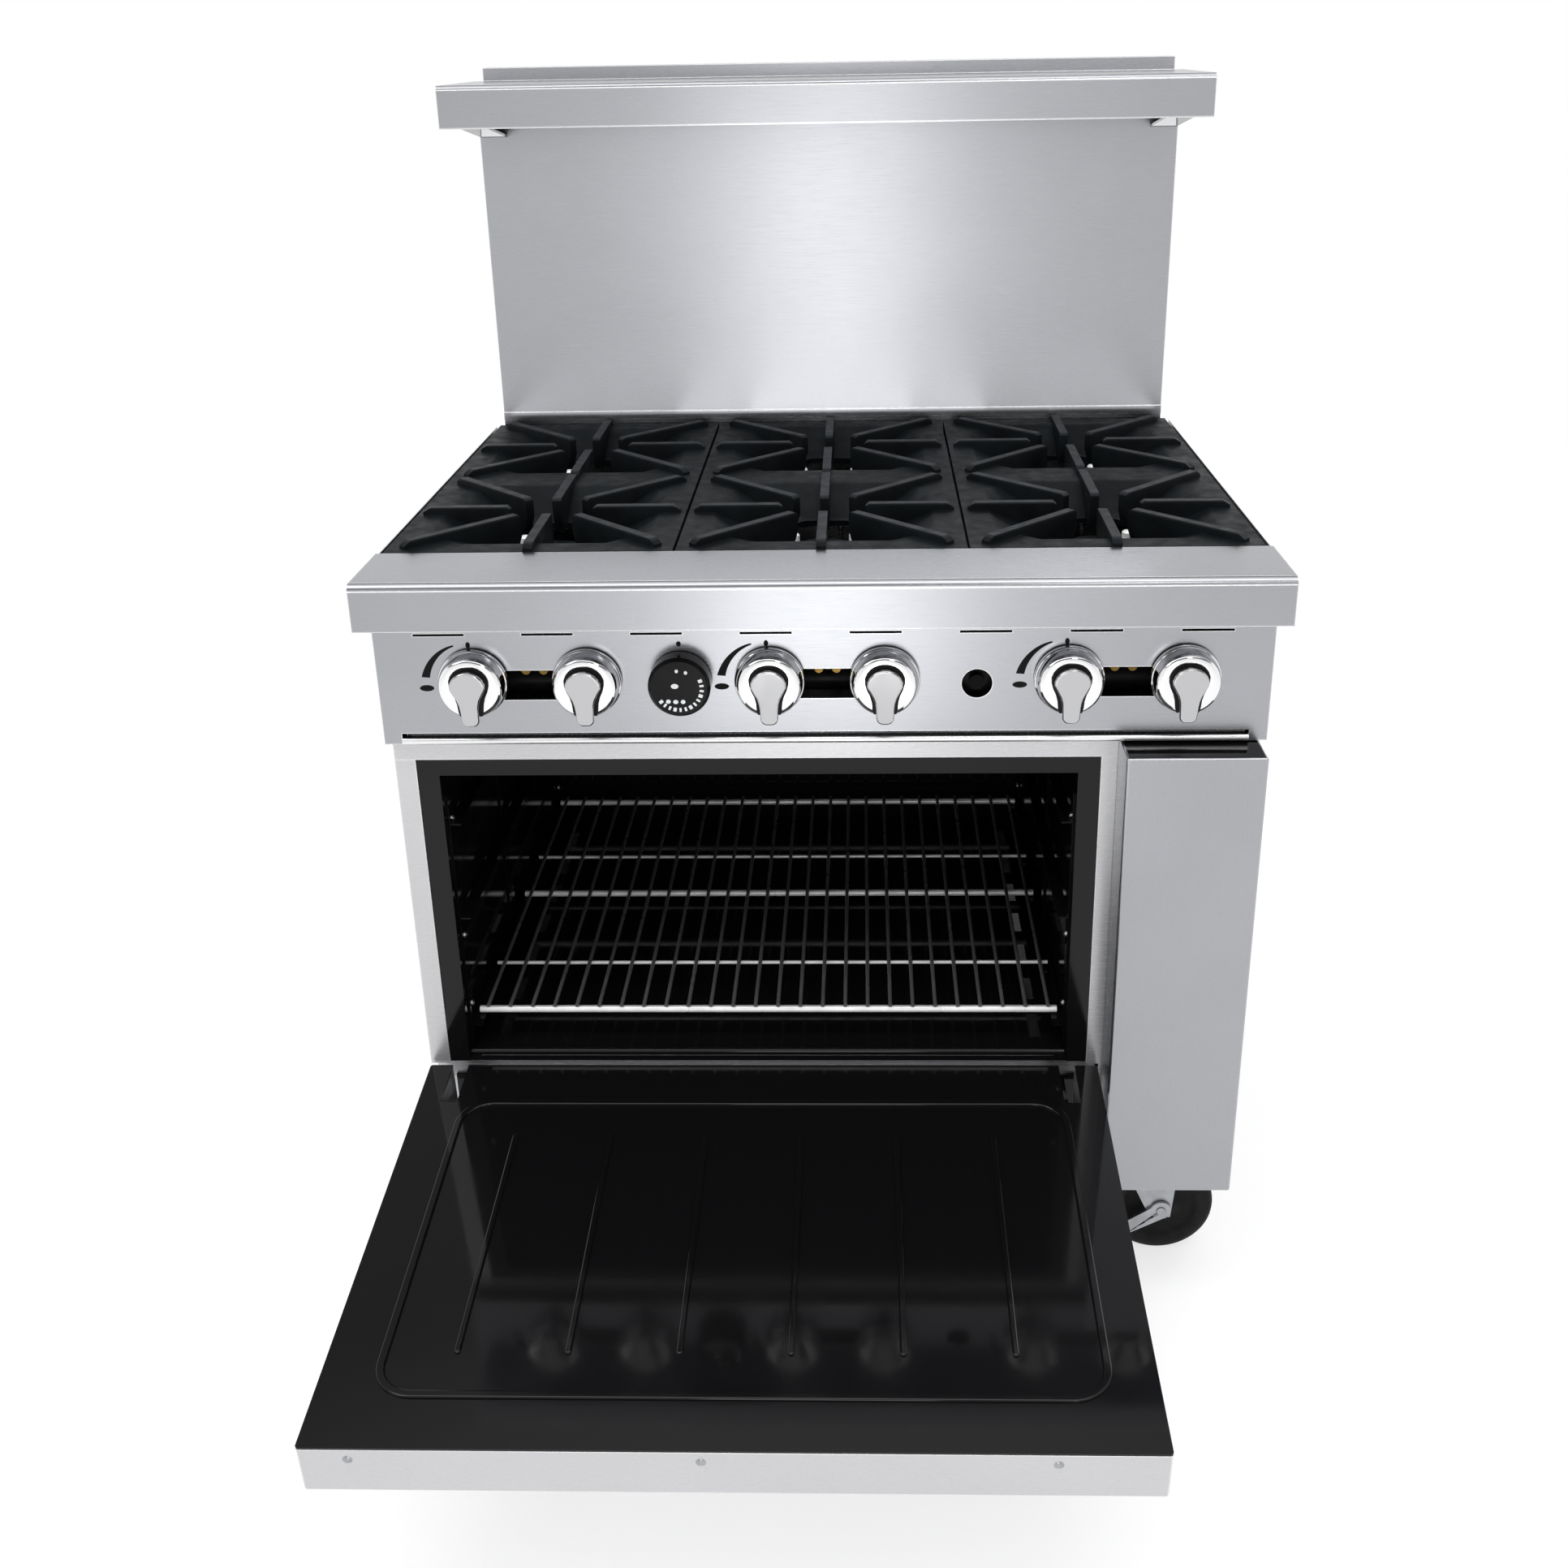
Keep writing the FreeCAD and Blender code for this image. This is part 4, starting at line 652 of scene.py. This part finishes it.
def make_panel_marks(material):
    """Printed marks: a tapered arc, an oval and a dot beside three knobs, and a dot over the dial."""
    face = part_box("control_panel")[0].y
    print_depth = (0, -0.15, 0)
    for number in (1, 3, 5):
        middle = knob_place(f"burner_knob_{number}")
        shape = Shape((middle.x, face, middle.z))
        outer, inner = [], []
        for step in range(ARC_STEPS + 1):
            share = step / ARC_STEPS
            angle = math.radians(ARC_START - ARC_SWEEP * share)
            for side, (broad, thin) in ((outer, ARC_OUTER), (inner, ARC_INNER)):
                radius = broad + (thin - broad) * share
                side.append((radius * math.cos(angle), 0, radius * math.sin(angle)))
        shape.slab(outer + inner[::-1], print_depth)
        shape.slab(oval(-49, -7.5, 7.4, 3.4), print_depth)
        shape.slab(oval(-3, 38.8, 2.3, 3.4), print_depth)
        shape.piece(f"panel_marks_{number}", material, "range_body")
    low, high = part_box("thermostat_knob")
    shape = Shape(((low.x + high.x) / 2, face, (low.z + high.z) / 2))
    shape.slab(oval(-1, 38.8, 2.4, 2.8), print_depth)
    shape.piece("panel_mark_dial", material, "range_body")


# The ticks round the lower right of the dial: angles in degrees, and the radii of their two ends.
TICKS = 13
TICK_START = -142
TICK_PITCH = 13.5
TICK_NEAR = 21.0
TICK_FAR = 25.2


def make_dial_marks(material):
    """White ticks and spots on the thermostat dial."""
    low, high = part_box("thermostat_knob")
    shape = Shape(((low.x + high.x) / 2, low.y, (low.z + high.z) / 2))
    print_depth = (0, -0.2, 0)
    for x, z, half_x, half_z in (
        (-1.5, 18.5, 1.7, 1.9), (7.5, 16.8, 1.7, 1.9), (-11, -14, 2.4, 2.2),
        (-3.6, -14.4, 2.6, 2.2), (3.8, -14.4, 2.4, 2.2), (-4.0, 2.4, 3.8, 2.6),
    ):
        shape.slab(oval(x, z, half_x, half_z), print_depth)
    for step in range(TICKS):
        angle = math.radians(TICK_START + TICK_PITCH * step)
        spoke = Vector((math.cos(angle), 0, math.sin(angle)))
        across = Vector((-spoke.z, 0, spoke.x)) * (1.1 if step % 3 else 1.7)
        near, far = spoke * TICK_NEAR, spoke * TICK_FAR
        shape.slab([near - across, near + across, far + across, far - across], print_depth)
    shape.piece("dial_marks", material, "thermostat")


def make_wheels(material):
    """Caster wheels with a grooved tread, a dished web and a raised hub."""
    side = (
        (-16.5, 6.5), (-16.5, 12), (-15.8, 13.2), (-12.6, 14.6), (-11.2, 18), (-10.8, 36),
        (-12, 40.5), (-14.8, 43), (-15.8, 46), (-16, 54), (-15, 59), (-12, 62.2),
        (-8.5, 63.3), (-8.3, 62.6), (-7.3, 62.6), (-7.1, 63.5),
    )
    profile = side + tuple((-along, radius) for along, radius in reversed(side))
    for number in CASTERS:
        node = f"caster_wheel_{number}"
        low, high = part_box(node)
        axis = (0, 1, 0) if high.y - low.y < high.x - low.x else (1, 0, 0)
        shape = Shape((low + high) / 2)
        shape.turned(profile, axis, segments=96, closed=True)
        wheel = shape.piece(f"rubber_wheel_{number}", material, f"wheel_{number}")
        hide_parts(node)


def add_screws(name, material, body, places, axis, radius=4.2, height=2.2):
    """Domed screw heads with a small dimple, standing on a face."""
    dome = ((0, 1), (0.35, 0.98), (0.75, 0.78), (1, 0.42), (0.9, 0.3), (0.4, 0.16), (0.35, 0))
    profile = [(height * along, radius * out) for along, out in dome]
    shape = Shape((0, 0, 0))
    for place in places:
        shape.turned(profile, axis, start=Vector(place) / MM, segments=20)
    shape.piece(name, material, body)


SEAM_SHARES = (0.35, 0.65)       # along a seam, between the screws near its ends
BACK_SCREWS_Z = (0.38, 0.6)      # of the back panel's upright edges


def make_screws(zinc_material):
    """Sheet-metal screws on the sides and back, and in the oven's rack guides."""
    for name, node, way in (
        ("left_screws", "left_side_panel", -1), ("right_screws", "right_side_panel", 1),
    ):
        low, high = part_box(node)
        x = low.x if way < 0 else high.x
        places = []
        for z in (low.z + 0.025, (low.z + high.z) / 2, high.z - 0.06):
            places += [(x, low.y + 0.05, z), (x, high.y - 0.022, z)]
        places += [(x, low.y + share * (high.y - low.y), low.z + 0.014) for share in SEAM_SHARES]
        add_screws(name, zinc_material, "range_body", places, (way, 0, 0))
    body_low, body_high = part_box("back_panel")
    places = []
    for share in (0.02, *SEAM_SHARES, 0.98):
        x = body_low.x + share * (body_high.x - body_low.x)
        places += [(x, body_high.y, body_low.z + 0.015), (x, body_high.y, body_high.z - 0.02)]
        places += [(x, body_high.y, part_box("guard_back")[1].z - 0.02)]
    for z in BACK_SCREWS_Z:
        places += [(body_low.x + 0.018, body_high.y, z), (body_high.x - 0.018, body_high.y, z)]
    add_screws("back_screws", zinc_material, "range_body", places, (0, 1, 0))
    low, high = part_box("rack_guides")
    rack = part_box("oven_rack")[0].z
    for name, x, way in (("guide_screws_left", low.x, 1), ("guide_screws_right", high.x, -1)):
        places = []
        for y in (low.y + 0.01, high.y - 0.012):
            places += [(x + way * 0.0018, y, z) for z in (rack + 0.022, rack + 0.11, high.z - 0.03)]
        add_screws(
            name, zinc_material, "range_body", places, (way, 0, 0), radius=3.6, height=2.6,
        )


BOLT_FORWARD = 36        # of each bolt from the kingpin, towards the wheel or away from it
BOLT_SIDE = 29
PLATE_THICK = 4
WASHER = ((0, 0), (0, 8.5), (-1.4, 8.5), (-1.5, 7.0))
BOLT_HEAD = ((-1.4, 6.6), (-5.6, 6.6), (-6.4, 5.6), (-6.4, 0))


def make_caster_bolts(material):
    """Four hexagon bolts and their washers under each caster's mounting plate."""
    up = (0, 0, 1)
    plate_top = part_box("caster_plates")[1].z
    for number in CASTERS:
        low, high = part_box(f"caster_wheel_{number}")
        middle = (low + high) / 2
        pin = kingpin_of(number)
        along = (middle - pin).to_2d().normalized()
        shape = Shape((pin.x, pin.y, plate_top - PLATE_THICK * MM))
        for forward in (-BOLT_FORWARD, BOLT_FORWARD):
            for side in (-BOLT_SIDE, BOLT_SIDE):
                place = (along.x * forward - along.y * side, along.y * forward + along.x * side, 0)
                shape.turned(WASHER, up, start=place, segments=24)
                shape.turned(BOLT_HEAD, up, start=place, segments=6)
        shape.piece(f"caster_bolts_{number}", material, "range_body", smooth=25)


def kingpin_of(number):
    """The top of a caster's swivel axis, from its joint."""
    for joint in frame["joints"]:
        if joint["name"] == f"caster_{number}_swivel":
            return Vector(joint["pos_m"])
    raise ValueError("there is no swivel joint for that caster")


def make_handle_caps(material):
    """Rounded caps on the ends of the door handle."""
    low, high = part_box("door_handle")
    middle = (low + high) / 2
    profile = ((0, 12.45), (1.6, 12.2), (3.0, 10.8), (3.8, 8.0), (4.0, 0))
    for name, x, way in (("handle_cap_left", low.x, -1), ("handle_cap_right", high.x, 1)):
        shape = Shape((x, middle.y, middle.z))
        shape.turned(profile, (way, 0, 0), segments=40)
        shape.piece(name, material, "oven_door")


def make_box_skin(material):
    """The stainless cover beside the door, with its folded corners rounded."""
    low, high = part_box("right_box_panel")
    shape = Shape(low)
    wide, deep, tall = (high - low) / MM
    shape.slab([(0, 0, 0), (wide, 0, 0), (wide, deep, 0), (0, deep, 0)], (0, 0, tall))
    skin = shape.piece("box_panel_skin", material, "range_body", bevel=2.4)
    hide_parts("right_box_panel")


def make_box_top(material):
    """A dark enamel plate let into the top of the cover beside the door: painted shade and the painted
    dark reflection of the panel above.
    """
    low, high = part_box("right_box_panel")
    wide, deep, _ = (high - low) / MM
    inset = 2.6
    shape = Shape((low.x, low.y, high.z))
    corners = [(inset, inset), (wide - inset, inset), (wide - inset, deep), (inset, deep)]
    shape.slab([(x, y, -0.4) for x, y in corners], (0, 0, 1.0))
    shape.piece("box_top_shade_plate", material, "range_body", bevel=0.3)


def make_tray_lip(material):
    """The crumb tray's folded front lip, in near-white steel: a painted highlight."""
    low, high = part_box("crumb_tray")
    length = (high.x - low.x) / MM
    profile = (
        (0, -0.3), (-1.5, 0.0), (-2.2, 1.2), (-2.4, 2.6), (-2.2, 4.2), (-1.4, 5.7), (0, 6.3), (0.9, 6.0),
    )
    shape = Shape(low)
    shape.slab([(0, y, z) for y, z in profile], (length, 0, 0))
    shape.piece("tray_lip", material, "tray", smooth=50)


BURNER_R = 46
PILOT_SIDE = 33          # of each tip from the middle of its burner


def make_pilot_tips(material):
    """Two small hooded pilot tips on each burner head."""
    low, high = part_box("burner_heads")
    head = BURNER_R * MM
    profile = ((-8, 0), (-8, 3.4), (4, 3.4), (5, 5.6), (12.5, 5.6), (14.6, 3.8), (15, 0))
    shape = Shape((0, 0, high.z))
    for x in (low.x + head, (low.x + high.x) / 2, high.x - head):
        for y in (low.y + head, high.y - head):
            for side in (-PILOT_SIDE, PILOT_SIDE):
                shape.turned(profile, (0, 0, 1), start=(x / MM + side, y / MM, 0), segments=24)
    shape.piece("pilot_tips", material, "range_body")


def make_pieces():
    polished = chrome()
    # Darker chrome for the levers: a rougher finish, and painted shade on the lever faces.
    satin_shaded = chrome("chrome_satin_shaded", (0.10, 0.16), (0.50, 0.50, 0.51))
    ink = black_plastic("panel_ink", (0.004, 0.004, 0.004), (0.5, 0.6))
    plated = zinc()
    steel_tube = brushed_steel("stainless_cap", "x", rough=(0.18, 0.28))
    make_knobs(polished, satin_shaded, black_plastic("knob_seat_black", (0.006, 0.006, 0.006), (0.3, 0.4)))
    make_panel_marks(ink)
    make_dial_marks(white_ink())
    make_wheels(rubber())
    make_screws(plated)
    make_caster_bolts(plated)
    make_handle_caps(steel_tube)
    make_box_skin(brushed_steel("stainless_box", "z"))
    # A black plate: painted shade on top of the cover beside the door.
    make_box_top(black_enamel("enamel_shade_plate", 0.3))
    # Near-white steel for the tray lip: a painted highlight.
    make_tray_lip(brushed_steel("stainless_lip_lit", "x", (0.80, 0.80, 0.81), metallic=0.9))
    # Near white and mostly diffuse, so the tips stay bright in the shade between the grates: a painted
    # highlight.
    make_pilot_tips(chrome("pilot_white_glint", (0.25, 0.35), (0.97, 0.97, 0.96), metallic=0.1))
    for node in ("grate_left", "grate_center", "grate_right"):
        soften(NODES[node], 1.6, weld=True)
    for node in ("burner_heads", "handle_brackets", "brake_lever_1", "brake_lever_2"):
        soften(NODES[node], 0.9, weld=True)


make_camera()
make_floor()
make_world()
make_lights()
dress_frame()
make_pieces()
bpy.context.scene.view_settings.view_transform = "Standard"
